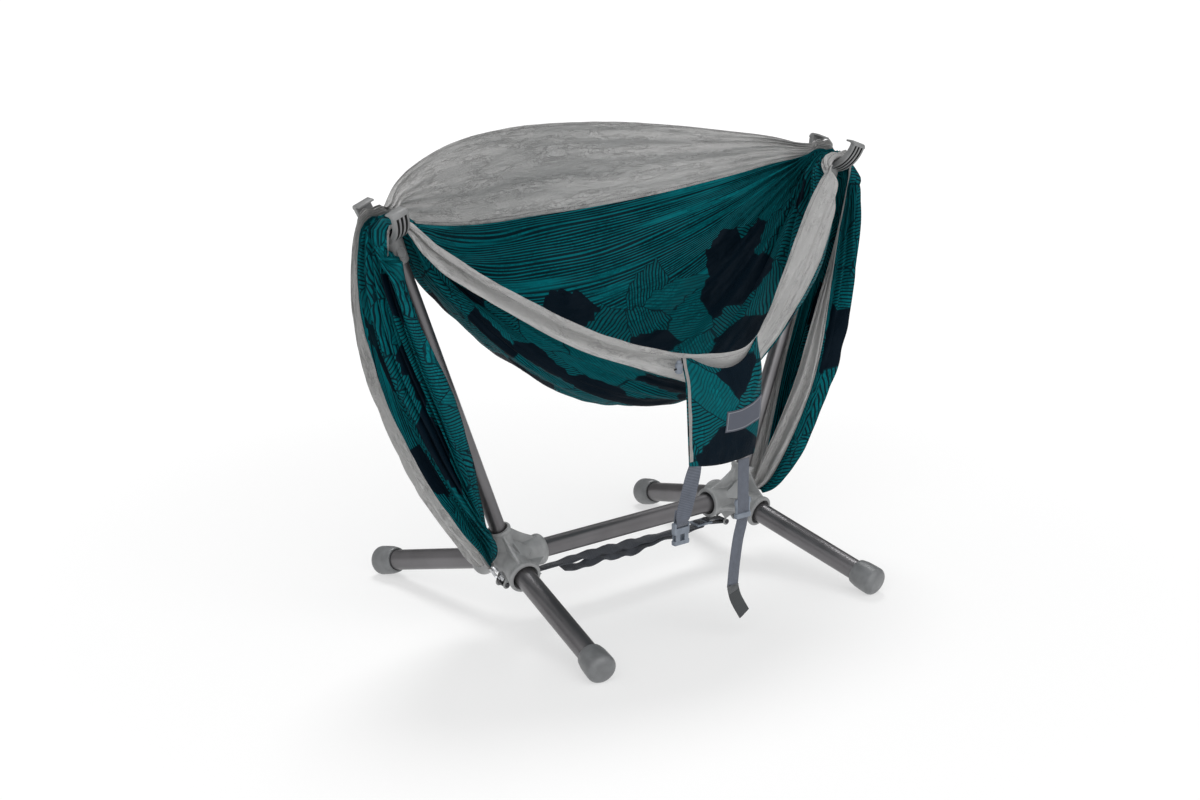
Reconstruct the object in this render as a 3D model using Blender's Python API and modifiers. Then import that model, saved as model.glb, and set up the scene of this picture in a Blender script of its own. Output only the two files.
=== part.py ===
"""Portable hammock chair: a folding-pole stand whose two yokes carry a three-panel cloth hammock.

The spreader bar runs along X, the sitter faces -Y, and the feet stand on Z = 0. Metres, +Z up.
"""

import bpy
import bmesh
from math import asin, cos, pi, radians, sin, sqrt, tau
from mathutils import Matrix, Vector

# Stand: driving dimensions
HUB_SPACING = 0.540
UPRIGHT_LEAN = radians(20.7)
UPRIGHT_REACH = 0.713
LEG_SPLAY = radians(9.0)
LEG_SLOPE = radians(15.1)
LEG_REACH = 0.347
LEG_TUBE_D = 0.038
BAR_TUBE_D = 0.035
UPRIGHT_TUBE_D = 0.0285
TUBE_WALL = 0.0016
TOUCH_GAP = 0.0003
SLIDE_GAP = 0.0003

TUBE_STEPS = 18

# Foot caps
CAP_D = 0.054
CAP_LENGTH = 0.052
CAP_END_WALL = 0.009
CAP_CORNER_R = 0.012
CAP_SOLE_DEPTH = 0.0008

# Hub moulding
HUB_CORE_R = 0.030
SOCKET_FLOOR = 0.026
LEG_MOUTH = 0.068
LEG_SOCKET_R = 0.0285
LEG_FLARE_R = 0.0243
BAR_MOUTH = 0.070
BAR_SOCKET_R = 0.0268
BAR_FLARE_R = 0.0222
UPRIGHT_MOUTH = 0.064
UPRIGHT_SOCKET_R = 0.0205
UPRIGHT_FLARE_R = 0.0178
FLARE_DEPTH = 0.022
RIM_BEAD = 0.0013
RIM_HEIGHT = 0.0055
WEB_THICKNESS = 0.008
WEB_HOLLOW = 0.80
SOCKET_STEPS = 18

# Lugs under the hub, each with a steel pin along Y
LUG_THICKNESS = 0.004
LUG_ROUND_R = 0.0075
PIN_D = 0.006
PIN_HEAD_D = 0.0095
PIN_HEAD_H = 0.0018
ANCHOR_OUT = 0.013
ANCHOR_DOWN = 0.0465
STRAP_PIN_IN = 0.030
STRAP_PIN_DOWN = 0.042
ANCHOR_WEB_W = 0.017
BASE_WEB_W = 0.0195
LUG_SIDE_GAP = 0.0006

# Yokes
SADDLE_R = 0.0500
YOKE_OUTER_R = 0.061
YOKE_BAND = 0.030
YOKE_CROWN = 0.0010
YOKE_TIP_CUT = radians(6)
GROOVE_DEPTH = 0.004
GROOVE_WIDTH = 0.003
GROOVE_PITCH = 0.008
LIP_REACH = 0.0115
LIP_THICKNESS = 0.0030
TIP_BLOCK = 0.0068
YOKE_SOCKET_LENGTH = 0.043
YOKE_SOCKET_R = 0.0172
YOKE_SOCKET_TOP_R = 0.0185

# Carabiners and the cords that hold the hammock ends
CHAIN_OUT = 0.56
CHAIN_UP = 0.828
ANCHOR_LOOP_SPAN = 0.011
ANCHOR_WEB_T = 0.0018
ANCHOR_WEB_PINCH = 0.0045
ROD_D = 0.0055
CARABINER_SPAN = 0.038
CARABINER_HALF_W = 0.0115
CARABINER_BEND_R = 0.0075
GATE_HINGE_AT = 0.0095
GATE_TIP_AT = 0.0300
NOSE_AT = 0.0262
GATE_WIRE_D = 0.0022
END_LOOP_SPAN = 0.0075
END_CORD_D = 0.0045

# Hammock cloth
CLOTH_T = 0.0012
CLOTH_REST = 0.0034
SEAM_GAP = 0.0016

# Strap between the hubs
BASE_WEB_T = 0.0016
LADDER_FROM_PIN = 0.055
LADDER_ABOVE_PIN = 0.00617
LADDER_LENGTH = 0.036
LADDER_WIDTH = 0.029
LADDER_THICKNESS = 0.004
TAIL_END_FROM_PIN = 0.090

# Pouch on the front hem and what hangs from it
POUCH_LEFT = -0.127
POUCH_RIGHT = 0.043
POUCH_HEIGHT = 0.188
POUCH_TAPER = 0.028
POUCH_DRIFT = -0.009
POUCH_T = 0.018
POUCH_TOP_DROP = 0.0020
POUCH_TOP_DIP = 0.026
POUCH_SET = 0.0016
POUCH_LEAN = 0.0095
LABEL_ACROSS = 0.715
LABEL_DOWN = 0.58
LABEL_W = 0.092
LABEL_H = 0.041
LABEL_T = 0.0008
LABEL_LIFT = 0.0008
WEBBING_W = 0.025
WEBBING_T = 0.0014
SHORT_STRAP_X = -0.117
LONG_STRAP_X = -0.007
STRAP_TOP_GAP = 0.0004
BUCKLE_W = 0.033
PRONGS_BELOW_STRAP_TOP = 0.10407
LONG_STRAP_DROP = 0.23107
CORD_LOCK_D = 0.013
CORD_LOCK_H = 0.0175
CORD_LOCK_BELOW = 0.009
BUTTON_TRAVEL = 0.004
DRAWCORD_D = 0.003

WORLD_Y = Vector((0, 1, 0))

# Heights that follow from the sizes above: the cap's lowest point sets the hub height
CAP_START = LEG_REACH + CAP_END_WALL - CAP_LENGTH
CAP_CORNER_AT = CAP_START + CAP_LENGTH - CAP_CORNER_R
CAP_REACH_DOWN = (sin(LEG_SLOPE) * CAP_CORNER_AT + cos(LEG_SLOPE) * (CAP_D / 2 - CAP_CORNER_R)
                  + CAP_CORNER_R)
HUB_HEIGHT = CAP_REACH_DOWN - CAP_SOLE_DEPTH


def start_clean():
    for old in list(bpy.data.objects):
        bpy.data.objects.remove(old, do_unlink=True)


def new_collection(name, hidden=False):
    made = bpy.data.collections.new(name)
    bpy.context.scene.collection.children.link(made)
    made.hide_render = hidden
    return made


start_clean()
PARTS = new_collection("portable_hammock_chair")
SHAPERS = new_collection("construction_shapes", hidden=True)


def principled(name, colour, roughness, metallic=0.0):
    material = bpy.data.materials.new(name)
    material.use_nodes = True
    shader = material.node_tree.nodes["Principled BSDF"]
    shader.inputs["Base Color"].default_value = (*colour, 1.0)
    shader.inputs["Roughness"].default_value = roughness
    shader.inputs["Metallic"].default_value = metallic
    return material


HUB_PLASTIC = principled("grey_glass_filled_nylon", (0.20, 0.205, 0.21), 0.55)
CAP_RUBBER = principled("grey_rubber", (0.19, 0.195, 0.20), 0.7)
TUBE_METAL = principled("gunmetal_anodised_aluminium", (0.075, 0.072, 0.074), 0.34, 0.85)
STEEL = principled("bright_steel", (0.55, 0.56, 0.58), 0.3, 1.0)
TEAL_CLOTH = principled("teal_nylon", (0.004, 0.115, 0.125), 0.6)
GREY_CLOTH = principled("grey_nylon", (0.36, 0.35, 0.34), 0.6)
GREY_CORD = principled("grey_cord", (0.24, 0.23, 0.22), 0.8)
BLACK_WEBBING = principled("black_webbing", (0.018, 0.018, 0.022), 0.85)
SLATE_WEBBING = principled("slate_webbing", (0.085, 0.10, 0.13), 0.8)
SLATE_PLASTIC = principled("slate_plastic", (0.13, 0.16, 0.20), 0.45)
LABEL_CLOTH = principled("label_cloth", (0.09, 0.10, 0.13), 0.7)


def add_object(name, mesh, material, matrix=None, collection=None):
    """Link a mesh under a name, shaded smooth with its corners kept sharp."""
    if material:
        mesh.materials.append(material)
    mesh.shade_smooth()
    mesh.set_sharp_from_angle(angle=radians(32))
    made = bpy.data.objects.new(name, mesh)
    (collection or PARTS).objects.link(made)
    if matrix:
        made.matrix_world = matrix
    if collection:
        made.hide_render = True
        made.display_type = "WIRE"
    return made


def from_bmesh(name, bm, material, matrix=None, collection=None):
    bmesh.ops.recalc_face_normals(bm, faces=bm.faces)
    mesh = bpy.data.meshes.new(name)
    bm.to_mesh(mesh)
    bm.free()
    return add_object(name, mesh, material, matrix, collection)


def along(origin, direction):
    """A frame at origin whose local Z points along direction."""
    return Matrix.Translation(origin) @ direction.to_track_quat("Z", "Y").to_matrix().to_4x4()


def turned(name, profile, material, matrix, steps, ring=False, collection=None):
    """A turned body: the profile of (radius, height) pairs runs down its outer side."""
    mesh = bpy.data.meshes.new(name)
    points = [(radius, 0.0, height) for radius, height in profile]
    edges = [(i, i + 1) for i in range(len(points) - 1)]
    if ring:
        edges.append((len(points) - 1, 0))
    mesh.from_pydata(points, edges, [])
    made = add_object(name, mesh, material, matrix, collection)
    screw = made.modifiers.new("turn", "SCREW")
    screw.steps = steps
    screw.render_steps = steps
    screw.use_merge_vertices = True
    screw.merge_threshold = 0.00001
    return made


def prism(name, outline, thickness, matrix, collection):
    """A flat plate: the outline lies in the local XY plane and the plate is centred on it."""
    bm = bmesh.new()
    face = bm.faces.new([bm.verts.new((x, y, -thickness / 2)) for x, y in outline])
    grown = bmesh.ops.extrude_face_region(bm, geom=[face])
    top = [item for item in grown["geom"] if isinstance(item, bmesh.types.BMVert)]
    bmesh.ops.translate(bm, verts=top, vec=(0, 0, thickness))
    return from_bmesh(name, bm, None, matrix, collection)


def box(name, size, material, matrix, collection=None, bevel=0.0):
    bm = bmesh.new()
    bmesh.ops.create_cube(bm, size=1.0)
    bmesh.ops.scale(bm, vec=size, verts=bm.verts)
    if bevel:
        bmesh.ops.bevel(bm, geom=bm.edges[:], offset=bevel, segments=2, profile=0.5, affect="EDGES")
    return from_bmesh(name, bm, material, matrix, collection)


def wire(name, points, radius, material, closed=False, resolution=2):
    """A round rod or cord along a list of points, with closed ends."""
    curve = bpy.data.curves.new(name, "CURVE")
    curve.dimensions = "3D"
    spline = curve.splines.new("POLY")
    spline.points.add(len(points) - 1)
    for target, point in zip(spline.points, points):
        target.co = (*point, 1.0)
    spline.use_cyclic_u = closed
    curve.bevel_depth = radius
    curve.bevel_resolution = resolution
    curve.use_fill_caps = not closed
    curve.materials.append(material)
    made = bpy.data.objects.new(name, curve)
    PARTS.objects.link(made)
    return made


def wire_mesh(name, points, radius, material, resolution=2):
    """The same rod as a closed mesh, ready for a Boolean."""
    rod = wire(name + "_curve", points, radius, material, resolution=resolution)
    bpy.context.view_layer.update()
    graph = bpy.context.evaluated_depsgraph_get()
    mesh = bpy.data.meshes.new_from_object(rod.evaluated_get(graph))
    curve = rod.data
    bpy.data.objects.remove(rod, do_unlink=True)
    bpy.data.curves.remove(curve)
    bm = bmesh.new()
    bm.from_mesh(mesh)
    bmesh.ops.remove_doubles(bm, verts=bm.verts, dist=0.00001)
    bpy.data.meshes.remove(mesh)
    return from_bmesh(name, bm, material)


def combine(target, solids=None, cuts=None):
    """Join a collection of solids to the target, then cut a collection of hollows from it."""
    for kind, group in (("UNION", solids), ("DIFFERENCE", cuts)):
        if group:
            step = target.modifiers.new(kind.lower(), "BOOLEAN")
            step.operation = kind
            step.operand_type = "COLLECTION"
            step.collection = group
            step.solver = "EXACT"


def shaper_group(name):
    group = bpy.data.collections.new(name)
    SHAPERS.children.link(group)
    group.hide_render = True
    return group


def smooth_path(points, per_span):
    """Points read from one smooth curve through the given points."""
    points = [Vector(p) for p in points]
    ends = [2 * points[0] - points[1]] + points + [2 * points[-1] - points[-2]]
    path = []
    for i in range(1, len(ends) - 2):
        for k in range(per_span):
            path.append(curve_point(ends[i - 1], ends[i], ends[i + 1], ends[i + 2], k / per_span))
    path.append(points[-1])
    return path


def curve_point(a, b, c, d, t):
    """Catmull-Rom: a smooth value between b and c, for numbers or vectors."""
    return 0.5 * (2 * b + (c - a) * t + (2 * a - 5 * b + 4 * c - d) * t * t
                  + (3 * b - a - 3 * c + d) * t * t * t)


def racetrack(centre_a, centre_b, radius, steps=8):
    """Closed path in the XZ plane round two centres, at one distance from both."""
    run = (centre_b - centre_a).normalized()
    side = Vector((-run.z, 0, run.x))
    path = []
    for centre, facing in ((centre_b, run), (centre_a, -run)):
        for k in range(steps + 1):
            turn = pi * k / steps - pi / 2
            flank = side if facing is run else -side
            path.append(centre + radius * (cos(turn) * facing + sin(turn) * flank))
    return path


def ribbon(name, centres, half_width, thickness, material, closed=False, spread=None):
    """Flat webbing: a strip along the centres, widened by a vector and given its thickness."""
    bm = bmesh.new()
    spread = spread or [half_width] * len(centres)
    low = [bm.verts.new(c - w) for c, w in zip(centres, spread)]
    high = [bm.verts.new(c + w) for c, w in zip(centres, spread)]
    count = len(centres) if closed else len(centres) - 1
    for i in range(count):
        j = (i + 1) % len(centres)
        bm.faces.new((low[i], low[j], high[j], high[i]))
    made = from_bmesh(name, bm, material)
    wall = made.modifiers.new("thickness", "SOLIDIFY")
    wall.thickness = thickness
    wall.offset = 0.0
    wall.use_even_offset = True
    return made


# Frames shared by the pieces

def hub_centre(side):
    return Vector((side * HUB_SPACING / 2, 0, HUB_HEIGHT))


def upright_axis(side):
    return Vector((side * sin(UPRIGHT_LEAN), 0, cos(UPRIGHT_LEAN)))


def leg_axis(side, end):
    flat = cos(LEG_SLOPE)
    return Vector((side * sin(LEG_SPLAY) * flat, end * cos(LEG_SPLAY) * flat, -sin(LEG_SLOPE)))


def chain_axis(side):
    return Vector((side * CHAIN_OUT, 0, CHAIN_UP)).normalized()


def anchor_pin_centre(side):
    return hub_centre(side) + Vector((side * ANCHOR_OUT, 0, -ANCHOR_DOWN))


def strap_pin_centre(side):
    return hub_centre(side) + Vector((-side * STRAP_PIN_IN, 0, -STRAP_PIN_DOWN))


def yoke_frame(side):
    """Origin at the centre of the yoke's arc, local Z up the pole, local X across the band."""
    tip = hub_centre(side) + upright_axis(side) * UPRIGHT_REACH
    return Matrix.Translation(tip) @ Matrix.Rotation(side * UPRIGHT_LEAN, 4, "Y")


SIDES = (("left", -1), ("right", 1))
ENDS = (("front", -1), ("back", 1))


# Hub: one moulding with four sockets, stiffening webs between them and two lugs below

def socket_solid(name, frame, mouth, radius, group):
    neck = radius * 0.84
    profile = [(0, mouth), (radius - 0.0008, mouth), (radius + RIM_BEAD, mouth - 0.0015),
               (radius + RIM_BEAD, mouth - RIM_HEIGHT), (radius - 0.0006, mouth - RIM_HEIGHT - 0.0025),
               (neck, SOCKET_FLOOR), (neck, 0), (0, 0)]
    turned(name, profile, None, frame, SOCKET_STEPS, collection=group)


def socket_hollow(name, frame, mouth, tube_r, flare_r, group):
    bore = tube_r + SLIDE_GAP
    clear = mouth + 0.012
    profile = [(0, clear), (flare_r, clear), (flare_r, mouth - 0.001), (bore, mouth - FLARE_DEPTH),
               (bore, SOCKET_FLOOR), (0, SOCKET_FLOOR)]
    turned(name, profile, None, frame, SOCKET_STEPS, collection=group)


def web_plate(name, centre, first, second, group):
    """Stiffening web in the plane of two sockets, with a hollowed outer edge."""
    (axis_a, reach_a, radius_a), (axis_b, reach_b, radius_b) = first, second
    flank_a = (axis_b - axis_a * axis_a.dot(axis_b)).normalized()
    normal = axis_a.cross(flank_a)
    corner_a = Vector((reach_a, radius_a))
    corner_b = Vector((reach_b * axis_b.dot(axis_a) + radius_b * flank(axis_b, axis_a).dot(axis_a),
                       reach_b * axis_b.dot(flank_a) + radius_b * flank(axis_b, axis_a).dot(flank_a)))
    end_b = Vector((reach_b * axis_b.dot(axis_a), reach_b * axis_b.dot(flank_a)))
    pull = (corner_a + corner_b) / 2 * WEB_HOLLOW
    outline = [Vector((0, 0)), Vector((reach_a, 0))]
    for k in range(7):
        t = k / 6
        outline.append(corner_a * (1 - t) ** 2 + pull * 2 * t * (1 - t) + corner_b * t * t)
    outline.append(end_b)
    frame = Matrix.Translation(centre) @ Matrix((axis_a, flank_a, normal)).transposed().to_4x4()
    prism(name, [(p.x, p.y) for p in outline], WEB_THICKNESS, frame, group)


def flank(axis, towards):
    return (towards - axis * axis.dot(towards)).normalized()


def lug_pair(name, side, centre, pin, shoulder, web_width, group):
    """Two plates that carry a pin: each runs from the hub's core to a round end about the pin."""
    reach = pin - centre
    facing = reach.normalized()
    outline = [Vector((shoulder[0].x, shoulder[0].z))]
    for k in range(9):
        turn = pi * (k / 8 - 0.5) * side * (1 if facing.x * side > 0 else -1)
        edge = Vector((facing.x * cos(turn) - facing.z * sin(turn), facing.x * sin(turn) + facing.z * cos(turn)))
        outline.append(Vector((reach.x, reach.z)) + edge * LUG_ROUND_R)
    outline.append(Vector((shoulder[1].x, shoulder[1].z)))
    outline.append(Vector((0, 0)))
    for end_name, end in ENDS:
        middle = centre + WORLD_Y * end * (web_width / 2 + LUG_SIDE_GAP + LUG_THICKNESS / 2)
        frame = Matrix.Translation(middle) @ Matrix.Rotation(pi / 2, 4, "X")
        prism(f"{name}_{end_name}", [(p.x, p.y) for p in outline], LUG_THICKNESS, frame, group)


def pin_hole(name, pin, group):
    turned(name, [(0, 0.03), (PIN_D / 2 + SLIDE_GAP, 0.03), (PIN_D / 2 + SLIDE_GAP, -0.03), (0, -0.03)],
           None, along(pin, WORLD_Y), 12, collection=group)


def hub(word, side):
    centre = hub_centre(side)
    sockets = [("upright", upright_axis(side), UPRIGHT_MOUTH, UPRIGHT_SOCKET_R, UPRIGHT_TUBE_D, UPRIGHT_FLARE_R),
               ("bar", Vector((-side, 0, 0)), BAR_MOUTH, BAR_SOCKET_R, BAR_TUBE_D, BAR_FLARE_R)]
    for end_name, end in ENDS:
        sockets.append((end_name + "_leg", leg_axis(side, end), LEG_MOUTH, LEG_SOCKET_R, LEG_TUBE_D, LEG_FLARE_R))
    solids = shaper_group(word + "_hub_solids")
    hollows = shaper_group(word + "_hub_hollows")
    reaches = {}
    for label, axis, mouth, radius, tube, flare_r in sockets:
        frame = along(centre, axis)
        socket_solid(f"{word}_{label}_socket", frame, mouth, radius, solids)
        socket_hollow(f"{word}_{label}_bore", frame, mouth, tube / 2, flare_r, hollows)
        reaches[label] = (axis, mouth - RIM_HEIGHT - 0.002, radius - 0.002)
    for a, b in (("upright", "front_leg"), ("upright", "back_leg"), ("upright", "bar"),
                 ("bar", "front_leg"), ("bar", "back_leg")):
        web_plate(f"{word}_web_{a}_{b}", centre, reaches[a], reaches[b], solids)
    anchor = anchor_pin_centre(side)
    lug_pair(word + "_anchor_lug", side, centre, anchor,
             (Vector((-side * 0.012, 0, -0.026)), Vector((side * 0.013, 0, -0.0255))), ANCHOR_WEB_W, solids)
    strap_pin = strap_pin_centre(side)
    lug_pair(word + "_strap_lug", side, centre, strap_pin,
             (Vector((side * 0.004, 0, -0.024)), Vector((-side * 0.046, 0, -0.018))), BASE_WEB_W, solids)
    pin_hole(word + "_anchor_hole", anchor, hollows)
    pin_hole(word + "_strap_hole", strap_pin, hollows)
    bm = bmesh.new()
    bmesh.ops.create_uvsphere(bm, u_segments=16, v_segments=8, radius=HUB_CORE_R)
    core = from_bmesh(word + "_hub", bm, HUB_PLASTIC, Matrix.Translation(centre))
    combine(core, solids, hollows)


def lug_pin(name, centre, web_width):
    half = web_width / 2 + LUG_SIDE_GAP + LUG_THICKNESS + SLIDE_GAP
    head, shank = PIN_HEAD_D / 2, PIN_D / 2
    profile = [(0, half + PIN_HEAD_H), (head - 0.001, half + PIN_HEAD_H), (head, half + 0.0006), (head, half),
               (shank, half), (shank, -half), (head, -half), (head, -half - 0.0006),
               (head - 0.001, -half - PIN_HEAD_H), (0, -half - PIN_HEAD_H)]
    turned(name, profile, STEEL, along(centre, WORLD_Y), 12)


# Tubes: the poles of the stand

def tube(name, frame, start, end, diameter):
    outer, inner = diameter / 2, diameter / 2 - TUBE_WALL
    turned(name, [(outer, end), (outer, start), (inner, start), (inner, end)], TUBE_METAL, frame, TUBE_STEPS, ring=True)


def foot_cap(name, frame, floor_group):
    """Moulded rubber foot: a cup over the tube end, with a round nose cut flat where it stands."""
    bore, rim = LEG_TUBE_D / 2 + TOUCH_GAP, CAP_D / 2 - 0.0030
    nose = CAP_START + CAP_LENGTH
    profile = [(0, nose + 0.0012)]
    for k in range(6):
        turn = pi / 2 * (1 - k / 5)
        profile.append((CAP_D / 2 - CAP_CORNER_R + CAP_CORNER_R * cos(turn),
                        CAP_CORNER_AT + CAP_CORNER_R * sin(turn)))
    profile += [(CAP_D / 2 - 0.0008, CAP_START + 0.018), (rim, CAP_START + 0.0035), (rim - 0.0012, CAP_START),
                (bore + 0.0010, CAP_START), (bore, CAP_START + 0.0012), (bore, LEG_REACH + TOUCH_GAP),
                (0, LEG_REACH + TOUCH_GAP)]
    cap = turned(name, profile, CAP_RUBBER, frame, TUBE_STEPS)
    combine(cap, cuts=floor_group)


# Yoke: a ribbed crescent on a socket, open at the top for the gathered cloth

def yoke(word, side):
    frame = yoke_frame(side)
    half = YOKE_BAND / 2
    outline = [(-half, YOKE_OUTER_R - 0.001), (-half + 0.001, YOKE_OUTER_R)]
    for groove in (-GROOVE_PITCH, 0.0, GROOVE_PITCH):
        for at, depth in ((-1, 0), (-1, GROOVE_DEPTH), (1, GROOVE_DEPTH), (1, 0)):
            outline.append((groove + at * GROOVE_WIDTH / 2, YOKE_OUTER_R - depth))
    outline += [(half - 0.001, YOKE_OUTER_R), (half, YOKE_OUTER_R - 0.001), (half, SADDLE_R + YOKE_CROWN),
                (half * 0.6, SADDLE_R + YOKE_CROWN * 0.3), (0, SADDLE_R),
                (-half * 0.6, SADDLE_R + YOKE_CROWN * 0.3), (-half, SADDLE_R + YOKE_CROWN)]
    bm = bmesh.new()
    loop = [bm.verts.new((x, r, 0)) for x, r in outline]
    edges = [bm.edges.new((loop[i], loop[(i + 1) % len(loop)])) for i in range(len(loop))]
    bmesh.ops.rotate(bm, verts=loop, cent=(0, 0, 0), matrix=Matrix.Rotation(-YOKE_TIP_CUT, 3, "X"))
    bmesh.ops.spin(bm, geom=loop + edges, cent=(0, 0, 0), axis=(-1, 0, 0), angle=pi - 2 * YOKE_TIP_CUT, steps=12)
    bmesh.ops.holes_fill(bm, edges=bm.edges[:])
    crescent = from_bmesh(word + "_yoke", bm, HUB_PLASTIC, frame)
    solids = shaper_group(word + "_yoke_solids")
    for end_name, end in ENDS:
        tip = frame @ Matrix(((0, 0, end), (end, 0, 0), (0, 1, 0))).to_4x4()
        prism(f"{word}_{end_name}_tip", tip_outline(), YOKE_BAND + 0.0008, tip, solids)
    foot = -YOKE_OUTER_R - YOKE_SOCKET_LENGTH
    turned(word + "_yoke_socket",
           [(0, -SADDLE_R - 0.0047), (YOKE_SOCKET_R * 0.86, -SADDLE_R - 0.0047), (YOKE_SOCKET_TOP_R - 0.001, -YOKE_OUTER_R),
            (YOKE_SOCKET_TOP_R, -YOKE_OUTER_R - 0.006), (YOKE_SOCKET_R + 0.0008, foot + 0.015),
            (YOKE_SOCKET_R, foot + 0.001), (YOKE_SOCKET_R - 0.001, foot), (0, foot)],
           None, frame, 24, collection=solids)
    hollows = shaper_group(word + "_yoke_hollows")
    bore = UPRIGHT_TUBE_D / 2 + SLIDE_GAP
    turned(word + "_yoke_bore", [(0, yoke_bore_top()), (bore, yoke_bore_top()), (bore, foot - 0.01), (0, foot - 0.01)],
           None, frame, 24, collection=hollows)
    combine(crescent, solids, hollows)


def tip_outline():
    """The horn's end: a block with a rounded outer corner and a thin lip that points inward."""
    inner, outer = SADDLE_R - LIP_REACH, YOKE_OUTER_R
    return [(inner, 0.0002 - LIP_THICKNESS), (inner - 0.0008, -LIP_THICKNESS * 0.5), (inner, 0.0006),
            (outer - 0.0060, 0.0006), (outer - 0.0028, -0.0004), (outer - 0.0008, -0.0024),
            (outer + 0.0003, -0.0052), (outer + 0.0003, -TIP_BLOCK - 0.0010), (SADDLE_R + 0.0025, -TIP_BLOCK),
            (SADDLE_R - 0.0008, -LIP_THICKNESS - 0.0012), (SADDLE_R - 0.0026, -LIP_THICKNESS)]


def yoke_bore_top():
    return -YOKE_OUTER_R - 0.004


# Carabiner, its webbing loop on the hub and the cord that gathers the hammock end

def chain_frame(side):
    """Origin at the carabiner's lower bend, local X up the chain, local Y along world Y."""
    start = anchor_pin_centre(side) + chain_axis(side) * ANCHOR_LOOP_SPAN
    normal = chain_axis(side).cross(WORLD_Y)
    return Matrix.Translation(start) @ Matrix((chain_axis(side), WORLD_Y, normal)).transposed().to_4x4()


def arc(centre, radius, start, end, steps):
    return [(centre[0] + radius * cos(start + (end - start) * k / steps),
             centre[1] + radius * sin(start + (end - start) * k / steps), 0.0) for k in range(steps + 1)]


def anchor_chain(word, side):
    frame = chain_frame(side)
    pin = anchor_pin_centre(side)
    loop_r = PIN_D / 2 + TOUCH_GAP + ANCHOR_WEB_T / 2
    loop = racetrack(pin, frame @ Vector((0, 0, 0)), loop_r)
    pinch = [Vector((0, ANCHOR_WEB_PINCH if k <= len(loop) // 2 - 1 else ANCHOR_WEB_W / 2, 0)) for k in range(len(loop))]
    ribbon(word + "_anchor_loop", loop, None, ANCHOR_WEB_T, BLACK_WEBBING, closed=True, spread=pinch)
    w, r = CARABINER_HALF_W, CARABINER_BEND_R
    path = [(GATE_HINGE_AT + 0.0035, -w, 0.0)]
    path += arc((r, r - w), r, 3 * pi / 2, pi, 5)
    path += arc((r, w - r), r, pi, pi / 2, 5)
    path += arc((CARABINER_SPAN - r, w - r), r, pi / 2, 0, 5)
    path += arc((CARABINER_SPAN - r, r - w), r, 0, -pi / 2, 5)
    path += [(NOSE_AT, -w, 0.0)]
    body = wire_mesh(word + "_carabiner", [frame @ Vector(p) for p in path], ROD_D / 2, STEEL, resolution=2)
    holes = shaper_group(word + "_carabiner_holes")
    hinge = frame @ Vector((GATE_HINGE_AT, -w, 0))
    normal = chain_axis(side).cross(WORLD_Y)
    hole_r = GATE_WIRE_D / 2 + 0.0004
    turned(word + "_gate_hole", [(0, 0.01), (hole_r, 0.01), (hole_r, -0.01), (0, -0.01)], None,
           along(hinge, normal), 12, collection=holes)
    combine(body, cuts=holes)
    straddle = ROD_D / 2 + 0.0005 + GATE_WIRE_D / 2
    tip_y = -w + ROD_D / 2 + 0.0004 + GATE_WIRE_D / 2
    half = [(GATE_HINGE_AT, -w, 0.0013), (GATE_HINGE_AT, -w, straddle - 0.0008),
            (GATE_HINGE_AT + 0.0008, -w, straddle), (GATE_TIP_AT - 0.0012, tip_y - 0.0002, straddle),
            (GATE_TIP_AT, tip_y, straddle - 0.0012)]
    gate = half + [(x, y, -z) for x, y, z in reversed(half)]
    gate_wire = wire(word + "_gate", gate, GATE_WIRE_D / 2, STEEL,
                     resolution=1)
    gate_wire.matrix_world = frame
    top = frame @ Vector((CARABINER_SPAN, 0, 0))
    ring_r = ROD_D / 2 + TOUCH_GAP + END_CORD_D / 2
    ring = racetrack(top, frame @ Vector((CARABINER_SPAN + END_LOOP_SPAN, 0, 0)), ring_r, 6)
    wire(word + "_end_loop", ring, END_CORD_D / 2, GREY_CORD, closed=True)


def cloth_end(side):
    ring_r = ROD_D / 2 + TOUCH_GAP + END_CORD_D / 2
    reach = CARABINER_SPAN + END_LOOP_SPAN + ring_r + END_CORD_D / 2 + TOUCH_GAP
    return chain_frame(side) @ Vector((reach, 0, 0))


# Hammock: seven lines run its whole length, from the front hem to the back hem

LINES = ("front_hem", "front_seam", "front_low", "bottom", "back_low", "back_seam", "back_hem")
# In the seat each line has its depth at the middle, the power it gets there with, and a sideways skew.
SEAT_Y = {"front_hem": (-0.315, 1.43, 0.10), "front_seam": (-0.275, 1.6, -0.12), "front_low": (-0.175, 1.9, -0.05),
          "bottom": (-0.020, 2.0, 0.0), "back_low": (0.160, 1.9, 0.0), "back_seam": (0.268, 1.55, 0.0),
          "back_hem": (0.205, 2.6, -0.009)}
# The same for its drop below the saddle.
SEAT_DROP = {"front_hem": (0.219, 1.5, 0.09), "front_seam": (0.300, 1.2, 0.09), "front_low": (0.345, 1.9, 0.035),
             "bottom": (0.368, 2.2, 0.015), "back_low": (0.290, 2.2, 0.0), "back_seam": (0.088, 1.93, 0.0),
             "back_hem": (-0.095, 2.1, -0.025)}
# Round the saddle each line has its angle from the lowest point.
SADDLE_ANGLE = {"front_hem": -44, "front_seam": -24, "front_low": -11, "bottom": 4, "back_low": 24,
                "back_seam": 45, "back_hem": 72}
# Outside the pole each line has its share of the half width and of the inward tuck: high up, and at the cord.
DRAPE_SHARE = {"front_hem": (-0.62, 2.0), "front_seam": (-0.84, 0.9), "front_low": (-0.52, 0.22),
               "bottom": (-0.05, 0.0), "back_low": (0.38, 0.05), "back_seam": (0.72, 0.20), "back_hem": (1.0, 0.60)}
GATHER_SHARE = {"front_hem": (0.05, 2.0), "front_seam": (-0.80, 1.1), "front_low": (-0.85, 0.30),
                "bottom": (-0.60, 0.0), "back_low": (-0.25, -0.1), "back_seam": (0.15, -0.1), "back_hem": (1.0, 0.45)}
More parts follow.
